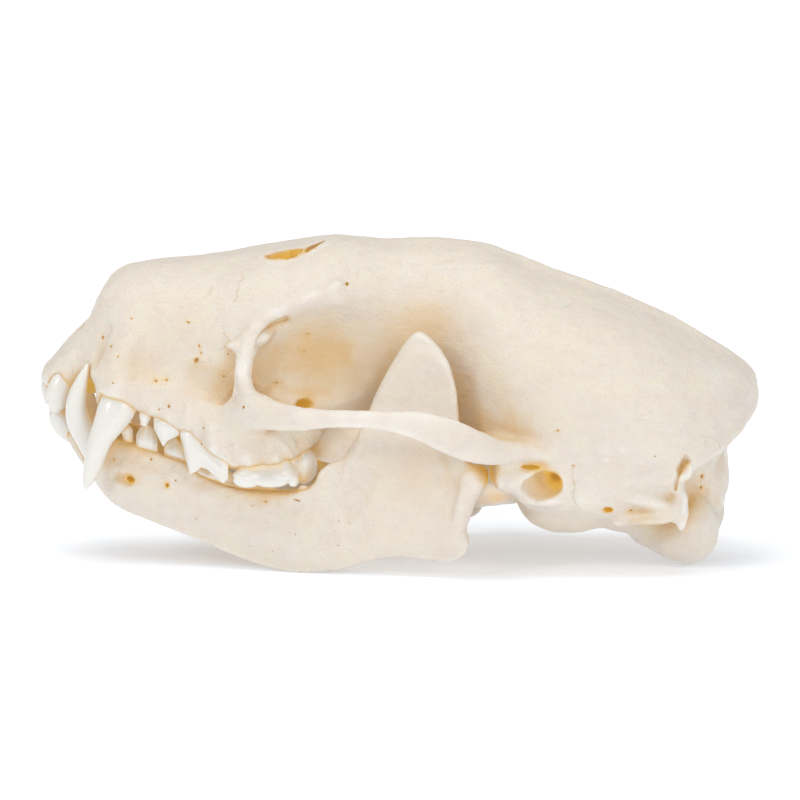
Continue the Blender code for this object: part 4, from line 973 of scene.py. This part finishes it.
# %% Cutting them
def skin_at(tree, x, z, side):
    """The outermost point of a bone on one side of the head, as x, y, z, or None."""
    start = metres((x, -40.0 * side, z))
    hit = tree.ray_cast(Vector(start), Vector((0.0, side, 0.0)))[0]
    return None if hit is None else np.array(hit) / MM - TABLE_SHIFT


def pit_tools(tree, pits, side):
    """Small eggs that sink into the skin."""
    made = []
    for x, z, long, high, depth, turn in pits:
        place = skin_at(tree, x, z, side)
        if place is not None:
            made.append(egg(place, (long * PIT_SIZE, depth, high * PIT_SIZE), turn, sides=16))
    return made


def seam_tool(tree, seam, side):
    """A thin rod that follows the skin, half sunk in it."""
    half, line = seam
    stations = []
    for x, z in between(line, 5):
        place = skin_at(tree, x, z, side)
        if place is not None:
            stations.append((place[0], place[1] * side, place[2], half, half))
    return rod(stations, side, sides=8, steps=1) if len(stations) > 2 else None


drill(core, [slices(BRAIN, sides=40, power=2.0)] + [rod(hole, steps=4) for hole in WORN_HOLES])
for name, piece in bones.items():
    tree = BVHTree.FromObject(piece, bpy.context.evaluated_depsgraph_get())
    tools = []
    for side in SIDES.values():
        if name == "cranium":
            tools += pit_tools(tree, HEAD_PITS + HEAD_SLITS, side)
            tools += [seam_tool(tree, seam, side) for seam in HEAD_SEAMS]
        elif SIDES[name.split("_")[0]] == side:
            tools += pit_tools(tree, JAW_PITS, side)
    if name == "cranium":
        tools.append(seam_tool(tree, CRACK, 1))
    drill(piece, [tool for tool in tools if tool])
    for word in SIDES:
        row = word + ("_upper" if name == "cranium" else "_lower")
        if name in ("cranium", word + "_jaw"):
            sockets(piece, [tooth for tooth in teeth if tooth.startswith(row)])
    thin(piece, BONE_TRIANGLES[name])
tell("bones with all their holes:", *bones.values())

# %% [markdown]
# The points now learn three things that the finish needs. Rays sent out from a point tell how
# much of its sky is walled in, so that hollows can be painted tan and amber, as painted shade.
# The height of a point over the smoothed surface round it tells edges and ridges, which are made
# pale, from the rest. A list of fields adds tan stains and painted shade in some places, and pale
# painted light in others.

# %% Stains, painted shade and painted light
# Fields of tan, partly stains and partly painted shade, and pale ones of painted light, where the
# strength is below zero: middle, radii, strength. A strength over 1 works in the hollows alone,
# as painted shade.
STAINS_SHADE_AND_LIGHT = (
    ((-7.8, -8.0, 22.0), (4.2, 3.0, 4.6), 0.60), ((1.6, -9.0, 19.8), (4.2, 3.0, 6.0), 0.55),
    ((3.4, -8.8, 26.0), (4.6, 3.4, 3.2), 0.40), ((-4.0, -5.0, 11.4), (7.0, 4.0, 4.4), -0.6),
    ((11.0, -5.0, 6.6), (5.0, 3.0, 3.0), -0.4), ((30.0, -9.0, 3.8), (3.0, 4.0, 3.0), 0.10),
    ((-18.0, -11.5, 19.0), (2.0, 3.0, 1.6), 0.35), ((-13.0, -12.0, 13.0), (5.0, 3.0, 1.6), 0.15),
    ((-27.0, -9.0, 10.5), (5.0, 3.0, 2.0), 0.06), ((27.0, -12.0, 4.8), (2.4, 3.0, 1.0), 0.50),
    ((2.0, -15.5, 10.5), (4.5, 3.0, 5.0), 0.32), ((17.0, -8.0, 4.6), (6.5, 6.0, 3.0), 0.36),
    ((-11.0, -4.2, 31.4), (3.4, 1.8, 1.8), 1.7), ((-27.6, -9.0, 20.6), (3.4, 3.0, 3.0), 0.28),
    ((-22.0, -10.0, 19.0), (5.0, 3.0, 4.0), 0.12), ((17.0, -15.3, 10.0), (1.5, 1.9, 1.5), 1.9),
    ((33.6, -8.0, 20.0), (4.0, 5.0, 2.6), -0.4), ((0.5, -21.5, 17.0), (9.0, 3.0, 2.0), -0.35),
    ((-15.6, -13.0, 21.0), (1.6, 2.0, 3.0), -0.4), ((21.0, -15.0, 9.5), (5.0, 3.0, 2.5), -0.3),
    ((-32.0, -4.2, 17.8), (1.8, 2.2, 1.8), 1.9), ((30.0, -14.8, 10.8), (0.9, 1.5, 1.8), 0.1),
    ((-22.5, -8.5, 25.5), (5.0, 4.0, 4.0), 0.22), ((17.0, -12.0, 21.0), (8.0, 5.0, 6.0), 0.20),
    ((-27.0, -3.5, 14.5), (5.0, 4.0, 3.0), 1.1), ((14.8, -15.4, 11.45), (1.8, 1.5, 0.6), 1.6),
    ((-9.5, -8.9, 17.2), (1.4, 1.4, 0.9), 1.6), ((-12.8, -10.0, 26.8), (2.2, 2.5, 1.0), -0.4),
    ((-9.0, -9.2, 28.4), (2.4, 2.5, 1.0), -0.4), ((-27.7, -8.0, 8.6), (1.0, 2.0, 0.8), 1.3),
    # The two pale fields behind the ear, at x 24.1 and 22.2, are painted glints on two raised spots.
    ((-23.9, -9.0, 8.2), (0.6, 2.0, 0.6), 1.3), ((24.1, -15.0, 13.3), (0.5, 2.0, 0.35), -0.9),
    ((22.2, -15.2, 12.2), (0.35, 2.0, 0.25), -0.9), ((10.0, -14.4, 10.2), (1.3, 2.6, 1.8), 1.7),
    ((22.5, -14.6, 6.8), (1.0, 1.8, 1.0), 1.6), ((-13.0, -10.4, 7.4), (5.0, 2.0, 0.8), 0.4),
    ((-31.0, -7.2, 22.0), (0.9, 1.5, 3.0), 0.3), ((26.4, -13.4, 6.6), (2.6, 1.5, 1.0), 0.2),
    ((-9.0, -10.2, 7.6), (3.2, 1.6, 2.6), 1.25), ((-23.6, -5.2, 10.2), (4.0, 2.0, 2.6), 1.2),
)
# The fields are stains, painted shade and painted light.
print(len(STAINS_SHADE_AND_LIGHT), "stained or pale fields on each side")

# %% Hollow and ridge
# Rays from each point: how many, how far in millimetres, where they start over the skin, and how
# steep the flattest of them is.
SKY_RAYS = 12
SKY_REACH = 12.0
SKY_START = 0.05
FLATTEST_RAY = 0.15
# A field that works in the hollows alone, as painted shade, has its whole strength where a point is this
# hollow.
FULL_HOLLOW = 0.35
# A length that is never divided by less, where a point has no normal.
TINY = 1e-9
# Rounds of evening out: for the hollow numbers, the smoothed surface and the ridge numbers.
HOLLOW_ROUNDS, SURFACE_ROUNDS, RIDGE_ROUNDS = 3, 12, 2


def spread(mesh, values, rounds):
    """Values of points, each round replaced with the mean over their neighbours."""
    edges = np.empty(len(mesh.edges) * 2, np.int64)
    mesh.edges.foreach_get("vertices", edges)
    first, second = edges.reshape(-1, 2).T
    count = np.bincount(np.concatenate([first, second]), minlength=len(mesh.vertices))
    for _ in range(rounds):
        if values.ndim == 1:
            total = np.bincount(first, values[second], len(count))
            total += np.bincount(second, values[first], len(count))
            values = total / np.maximum(count, 1)
        else:
            values = np.column_stack([spread(mesh, column, 1) for column in values.T])
    return values


def note(mesh, name, values):
    """Store one number for each point under a name that the materials read."""
    layer = mesh.attributes.new(name, "FLOAT", "POINT")
    layer.data.foreach_set("value", np.ascontiguousarray(values, np.float32))


def one_tree(things):
    """A tree of the faces of several objects, to cast rays at."""
    points, faces = [], []
    for thing in things:
        start = sum(len(p) for p in points)
        thing.data.calc_loop_triangles()
        corners = np.empty(len(thing.data.loop_triangles) * 3, np.int64)
        thing.data.loop_triangles.foreach_get("vertices", corners)
        points.append(read_points(thing.data)[0])
        faces.append(corners.reshape(-1, 3) + start)
    return BVHTree.FromPolygons(np.vstack(points).tolist(), np.vstack(faces).tolist(), all_triangles=True)


def survey(thing, tree):
    """Give a piece its hollow and ridge numbers, and its numbers of stain, painted shade and painted light.
    """
    mesh = thing.data
    points, normals = read_points(mesh)
    spin = np.arange(SKY_RAYS)
    lift = FLATTEST_RAY + (1.0 - FLATTEST_RAY) * (spin + 0.5) / SKY_RAYS
    turn = spin * math.pi * (3.0 - math.sqrt(5.0))
    wide = np.sqrt(1.0 - lift ** 2)
    sky = np.column_stack([wide * np.cos(turn), wide * np.sin(turn), lift])
    helper = np.where(np.abs(normals[:, :1]) > 0.8, (0.0, 1.0, 0.0), (1.0, 0.0, 0.0))
    across = np.cross(normals, helper)
    across /= np.maximum(np.linalg.norm(across, axis=1), TINY)[:, None]
    other = np.cross(normals, across)
    starts = (points + normals * SKY_START * MM).tolist()
    hollow = np.zeros(len(points))
    reach = SKY_REACH * MM
    for a, b, c in sky:
        ways = across * a + other * b + normals * c
        for k, (start, way) in enumerate(zip(starts, ways.tolist())):
            distance = tree.ray_cast(start, way, reach)[3]
            if distance is not None:
                hollow[k] += 1.0 - 0.5 * distance / reach
    hollow = spread(mesh, hollow / SKY_RAYS, HOLLOW_ROUNDS)
    surface = spread(mesh, points, SURFACE_ROUNDS)
    height = np.einsum("ij,ij->i", points - surface, normals) / MM
    ridge = spread(mesh, height, RIDGE_ROUNDS)
    note(mesh, "hollow", hollow)
    note(mesh, "ridge", ridge)
    place = points / MM - TABLE_SHIFT
    place[:, 1] = -np.abs(place[:, 1])
    stain_shade_and_light = np.zeros(len(place))
    for middle, radii, strength in STAINS_SHADE_AND_LIGHT:
        far = (((place - middle) / radii) ** 2).sum(1)
        stain_shade_and_light += strength * np.exp(-far) * (np.clip(hollow / FULL_HOLLOW, 0.0, 1.0) if strength > 1 else 1.0)
    note(mesh, "stain_shade_and_light", stain_shade_and_light)
    return hollow, ridge


everything = [*bones.values(), *teeth.values()]
tree = one_tree(everything)
for piece in everything:
    hollow, ridge = survey(piece, tree)
    if piece in bones.values():
        print(" ", piece.name, "hollow", np.round(np.percentile(hollow, (5, 50, 95)), 2),
              "ridge", np.round(np.percentile(ridge, (5, 50, 95)), 3))
tell("surveyed:", *everything)

# %% [markdown]
# A material is a chain of nodes. This small class lets the chain be written as sums: it wraps a
# socket, so that 1 - mask or height * 0.3 adds the right Math node. One method adds any other
# node, given its type, its settings and what its sockets hold.

# %% Shader maths
class Wire:
    """One socket of a material's nodes, to be reckoned with like a number."""

    def __init__(self, tree, socket=None):
        self.tree = tree
        self.socket = socket

    def node(self, kind, settings=None, sockets=None, out=0):
        """Add a node, set it up, fill or link its sockets, and give one of its outputs."""
        made = self.tree.nodes.new(kind)
        for name, value in (settings or {}).items():
            setattr(made, name, value)
        for name, value in (sockets or {}).items():
            if isinstance(value, Wire):
                self.tree.links.new(value.socket, made.inputs[name])
            else:
                made.inputs[name].default_value = value
        return Wire(self.tree, made.outputs[out] if len(made.outputs) else None)

    def maths(self, operation, *values):
        """A Math node with values in its sockets, in their order."""
        return self.node("ShaderNodeMath", {"operation": operation}, dict(enumerate(values)))

    def __add__(self, other):
        return self.maths("ADD", self, other)

    def __sub__(self, other):
        return self.maths("SUBTRACT", self, other)

    def __rsub__(self, other):
        return self.maths("SUBTRACT", other, self)

    def __mul__(self, other):
        return self.maths("MULTIPLY", self, other)

    __radd__ = __add__
    __rmul__ = __mul__

    def stretched(self, factors):
        """A vector with each of its parts made longer by its own factor."""
        return self.node("ShaderNodeVectorMath", {"operation": "MULTIPLY"}, {0: self, 1: factors})

    def scaled(self, factor):
        """A vector made longer."""
        return self.node("ShaderNodeVectorMath", {"operation": "SCALE"}, {0: self, "Scale": factor})

    def step(self, low, high):
        """0 below low, 1 above high, and an even slope with soft ends between them."""
        return self.node("ShaderNodeMapRange", {"interpolation_type": "SMOOTHSTEP"},
                         {"Value": self, "From Min": low, "From Max": high})

    def blend(self, colour, share):
        """This colour with a share of another one mixed in."""
        return self.node("ShaderNodeMix", {"data_type": "RGBA"}, {6: self, 7: colour, 0: share}, out=2)

    def noise(self, scale, detail=4.0, roughness=0.55):
        """Soft noise over this vector, in steps per millimetre."""
        return self.node("ShaderNodeTexNoise", None,
                         {"Vector": self, "Scale": scale, "Detail": detail, "Roughness": roughness})

    def cells(self, scale, out=0):
        """Distances (output 0) or colours (output 1) of a cell pattern over this vector."""
        return self.node("ShaderNodeTexVoronoi", None, {"Vector": self, "Scale": scale}, out)

    def plain(self, colour):
        """One even colour, for others to be mixed into."""
        made = self.node("ShaderNodeRGB")
        made.socket.default_value = colour
        return made

    def noted(self, name):
        """A number that the points of a piece hold under a name."""
        return self.node("ShaderNodeAttribute", {"attribute_name": name}, None, "Fac")


def material(name):
    """A material with an empty tree, and a wire that carries places in millimetres."""
    made = bpy.data.materials.new(name)
    made.use_nodes = True
    made.node_tree.nodes.clear()
    blank = Wire(made.node_tree)
    return made, blank.node("ShaderNodeTexCoord", out="Object").scaled(1 / MM)


def finish_material(place, sockets):
    """Close a tree with its one shader."""
    shader = place.node("ShaderNodeBsdfPrincipled", None, sockets)
    place.node("ShaderNodeOutputMaterial", None, {"Surface": shader})


BLACK = (0.0, 0.0, 0.0, 1.0)
print("a wire can be added, subtracted, multiplied, stepped and blended")

# %% [markdown]
# Cleaned bone is ivory with a faint pink mottling. Its hollows are painted tan, and amber in the
# deepest holes, as painted shade, and they glow a little with painted light. Ridges and edges are
# made the palest. The surface is dense and half matt, with fine pores, so light sinks in a little
# and comes out warm.

# %% Bone
IVORY = (0.765, 0.70, 0.61, 1.0)
PINK = (0.74, 0.65, 0.565, 1.0)
YELLOW = (0.775, 0.705, 0.57, 1.0)
PALE = (0.85, 0.81, 0.75, 1.0)
# Tan is painted shade in hollows and the colour of tan stain fields; amber is painted shade in the deepest
# holes.
STAIN_AND_SHADE_TAN = (0.75, 0.525, 0.265, 1.0)
AMBER_SHADE = (0.64, 0.41, 0.08, 1.0)
SPECK = (0.50, 0.33, 0.16, 1.0)
# Painted light: a glow of the deep holes and of pale hollow fields, though they are no lamp.
PAINTED_GLOW = 0.5


def bone_material():
    """Ivory bone with painted tan and amber shade where it is hollow, and a painted glow there."""
    made, place = material("bone")
    hollow = place.noted("hollow")
    ridge = place.noted("ridge")
    stain_shade_and_light = place.noted("stain_shade_and_light")
    broad = place.noise(0.16, 3.0)
    middling = place.noise(0.7, 5.0, 0.6)
    fine = place.noise(4.2, 4.0)
    cloud = place.noise(0.33, 4.0, 0.6)
    patchy = (broad - 0.5) * 0.5 + (middling - 0.5) * 0.35
    # Painted shade: tan where a point is hollow, with the tan stain fields and painted shade fields added.
    tan_stain_and_shade = hollow.step(0.0, 0.66) * 0.85 + stain_shade_and_light + patchy * hollow.step(0.02, 0.3)
    colour = place.plain(IVORY).blend(PINK, (middling * 0.6 + cloud * 0.4).step(0.44, 0.58) * 0.6)
    colour = colour.blend(YELLOW, cloud.step(0.52, 0.36) * 0.55)
    colour = colour.blend(PALE, fine.step(0.56, 0.70) * 0.35)
    # Ridges and edges are made paler, and so are the pale fields of painted light and the two painted
    # glints.
    colour = colour.blend(PALE, (ridge.step(0.06, 0.26) * 0.65 + stain_shade_and_light.step(0.0, -0.9)).step(0.0, 1.0))
    colour = colour.blend(STAIN_AND_SHADE_TAN, tan_stain_and_shade.step(0.0, 1.0))
    # Painted shade: amber in the deepest holes, held back in pale painted-light fields and pushed on in the
    # strong hollow fields.
    pale_light = stain_shade_and_light.maths("MINIMUM", stain_shade_and_light, 0)
    deep_shade_fields = stain_shade_and_light.maths("MAXIMUM", stain_shade_and_light - 0.6, 0)
    amber_shade = (hollow + patchy * 0.3 + pale_light * 0.7 + deep_shade_fields).step(0.46, 1.10)
    colour = colour.blend(AMBER_SHADE, amber_shade)
    size = place.cells(0.9)
    chance = place.node("ShaderNodeSeparateColor", None, {0: place.cells(0.9, out=1)})
    specks = (1 - size.step(0.035, 0.085)) * chance.step(0.80, 0.86)
    colour = colour.blend(SPECK, specks * 0.55)
    grain = place.stretched((0.5, 1.0, 1.3)).noise(1.6, 5.0, 0.65)
    pores = 1 - place.cells(2.6).step(0.05, 0.22)
    height = middling * 0.8 + fine * 0.5 - pores * 0.3 + grain * 0.6
    bump = place.node("ShaderNodeBump", None, {"Strength": 0.8, "Distance": 0.0002, "Height": height})
    # Painted light: deep holes and pale hollow fields glow, though they are no lamp.
    painted_glow_mask = amber_shade * 0.6 + hollow.step(0.1, 0.5) * stain_shade_and_light.step(-0.05, -0.4)
    finish_material(place, {
        "Base Color": colour, "Roughness": 0.34 + middling * 0.16 + (fine - 0.5) * 0.1,
        "Normal": bump, "Subsurface Weight": 0.2, "Subsurface Radius": (1.0, 0.55, 0.3),
        "Subsurface Scale": 0.0015, "Specular IOR Level": 0.42,
        "Emission Color": place.plain(BLACK).blend(colour, painted_glow_mask), "Emission Strength": PAINTED_GLOW,
    })
    return made


bone = bone_material()
print("bone material:", len(bone.node_tree.nodes), "nodes")

# %% [markdown]
# Enamel is harder and whiter than bone and has a wet shine, and it is a little see-through at the
# tip. Where it is hollow, at the neck and between teeth, it is painted warm as painted shade and
# glows faintly with painted light.

# %% Enamel
ENAMEL = (0.79, 0.765, 0.71, 1.0)
# Warm colour and glow for the enamel where it is hollow: painted shade and painted light.
NECK_SHADE = (0.76, 0.58, 0.33, 1.0)
NECK_PAINTED_GLOW = 0.3


def enamel_material():
    """Glossy enamel, painted warm and faintly glowing where it is hollow, as painted shade and painted
    light.
    """
    made, place = material("enamel")
    hollow = place.noted("hollow")
    broad = place.noise(0.5, 3.0)
    fine = place.noise(4.0, 3.0)
    # Painted shade: the enamel turns warm where it is hollow, at the neck and between teeth.
    colour = place.plain(ENAMEL).blend(NECK_SHADE, (hollow + (broad - 0.5) * 0.1).step(0.28, 0.90))
    bump = place.node("ShaderNodeBump", None,
                      {"Strength": 0.3, "Distance": 0.00006, "Height": fine + broad})
    finish_material(place, {
        "Base Color": colour, "Roughness": 0.09 + fine * 0.08, "Normal": bump,
        "Subsurface Weight": 0.25, "Subsurface Radius": (1.0, 0.8, 0.6), "Subsurface Scale": 0.0008,
        "Coat Weight": 0.5, "Coat Roughness": 0.05,
        # Painted light: a faint glow where the enamel is hollow.
        "Emission Color": place.plain(BLACK).blend(colour, hollow.step(0.35, 0.9)),
        "Emission Strength": NECK_PAINTED_GLOW,
    })
    return made


enamel = enamel_material()
print("enamel material:", len(enamel.node_tree.nodes), "nodes")

# %% [markdown]
# Each bone and tooth takes the place of the plain solid that it was modelled over, and rides on
# the same body. Smooth shading hides what is left of the facets.

# %% In the place of the plain solids
SHARP_EDGE = 55.0
for node, piece in [*bones.items(), *teeth.items()]:
    piece.data.materials.clear()
    piece.data.materials.append(bone if node in bones else enamel)
    piece.data.shade_smooth()
    piece.data.set_sharp_from_angle(angle=math.radians(SHARP_EDGE))
    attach(piece, "root")
    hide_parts(node)
    "bone" if node in bones else "enamel"
tell(str(len(everything)) + " pieces:", *everything)

# %% [markdown]
# The skull stands on a pale sweep in a white room. A broad soft light hangs above it, another
# stands to its left toward the back of the head, and a small lamp to the left of the snout puts
# the wet shine on the teeth. The sweep glows a little, and more so far out, so that it is as
# bright as the walls and only soft contact shadows remain.

# %% Ground
SWEEP_SIZE = 4.0
SWEEP_COLOUR = (0.84, 0.875, 0.925, 1.0)
# The sweep's own light, near the skull and far from it.
SHADE_LIGHT = (0.29, 0.295, 0.305, 1.0)
ROOM_LIGHT = (0.575, 0.56, 0.54, 1.0)
sweep_mesh = bpy.data.meshes.new("sweep")
half = SWEEP_SIZE / 2
corners = [(-half, -half, 0), (half, -half, 0), (half, half, 0), (-half, half, 0)]
sweep_mesh.from_pydata(corners, [], [(0, 1, 2, 3)])
sweep = put("sweep", sweep_mesh)
sweep_material = bpy.data.materials.new("sweep")
sweep_material.use_nodes = True
paint = sweep_material.node_tree.nodes["Principled BSDF"]
start = Wire(sweep_material.node_tree)
far = start.node("ShaderNodeVectorMath", {"operation": "LENGTH"},
                 {0: start.node("ShaderNodeTexCoord", out="Object")}, "Value")
bright = start.plain(SHADE_LIGHT).blend(ROOM_LIGHT, far.step(0.05, 0.45))
sweep_material.node_tree.links.new(bright.socket, paint.inputs["Emission Color"])
paint.inputs["Base Color"].default_value = SWEEP_COLOUR
paint.inputs["Emission Strength"].default_value = 1.0
paint.inputs["Roughness"].default_value = 0.9
paint.inputs["Specular IOR Level"].default_value = 0.1
sweep_mesh.materials.append(sweep_material)
print("sweep", SWEEP_SIZE, "m wide")

# %% Light
WALL_COLOUR = (1.0, 0.995, 0.985, 1.0)
WALL_LIGHT = 0.56
MIDDLE_OF_SKULL = Vector((0.0, 0.0, 0.015))
# Square soft lights: place and width in metres, then power in watts.
SOFTBOXES = {
    "key_softbox": ((0.29, -0.51, 0.27), 0.35, 0.79),
    "top_softbox": ((-0.05, -0.05, 0.60), 0.4, 1.35),
    "small_lamp": ((-0.28, -0.36, 0.24), 0.08, 0.28),
}
world = bpy.data.worlds.new("white room")
world.use_nodes = True
walls = world.node_tree.nodes["Background"]
walls.inputs["Color"].default_value = WALL_COLOUR
walls.inputs["Strength"].default_value = WALL_LIGHT
bpy.context.scene.world = world
for name, (place, width, power) in SOFTBOXES.items():
    light = bpy.data.lights.new(name, "AREA")
    light.shape = "SQUARE"
    light.size = width
    light.energy = power
    lamp = put(name, light)
    lamp.location = place
    lamp.rotation_euler = (MIDDLE_OF_SKULL - Vector(place)).to_track_quat("-Z", "Y").to_euler()
print(len(SOFTBOXES), "lamps of", sum(power for place, width, power in SOFTBOXES.values()), "W in all")

# %% [markdown]
# A long lens far away shows the skull with next to no perspective, from a little to the front
# and a little above. The camera is placed from the width of the picture at the skull.

# %% Camera
# In millimetres: the picture's width, its middle over the skull's own zero, lens and sensor.
VIEW_TURN = math.radians(3.0)
VIEW_LIFT = math.radians(8.0)
PICTURE_WIDTH = 84.0
PICTURE_MIDDLE = 15.96
LENS = 1000.0
SENSOR = 36.0
right = Vector((math.cos(VIEW_TURN), math.sin(VIEW_TURN), 0.0))
ahead = Vector((-math.sin(VIEW_TURN) * math.cos(VIEW_LIFT), math.cos(VIEW_TURN) * math.cos(VIEW_LIFT),
                -math.sin(VIEW_LIFT)))
upward = right.cross(ahead)
target = (upward * PICTURE_MIDDLE + Vector(TABLE_SHIFT)) * MM
camera_data = bpy.data.cameras.new("camera")
camera_data.lens = LENS
camera_data.sensor_width = SENSOR
camera_data.clip_end = 20.0
camera = put("camera", camera_data)
camera.location = target - ahead * (PICTURE_WIDTH * LENS / SENSOR * MM)
camera.rotation_euler = Matrix((right, upward, -ahead)).transposed().to_euler()
bpy.context.scene.camera = camera
bpy.context.scene.view_settings.view_transform = "Standard"
print("camera", [round(v, 3) for v in camera.location], "looks at", [round(v, 4) for v in target])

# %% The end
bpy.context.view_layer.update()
print("made in", round(time.time() - started, 1), "s")
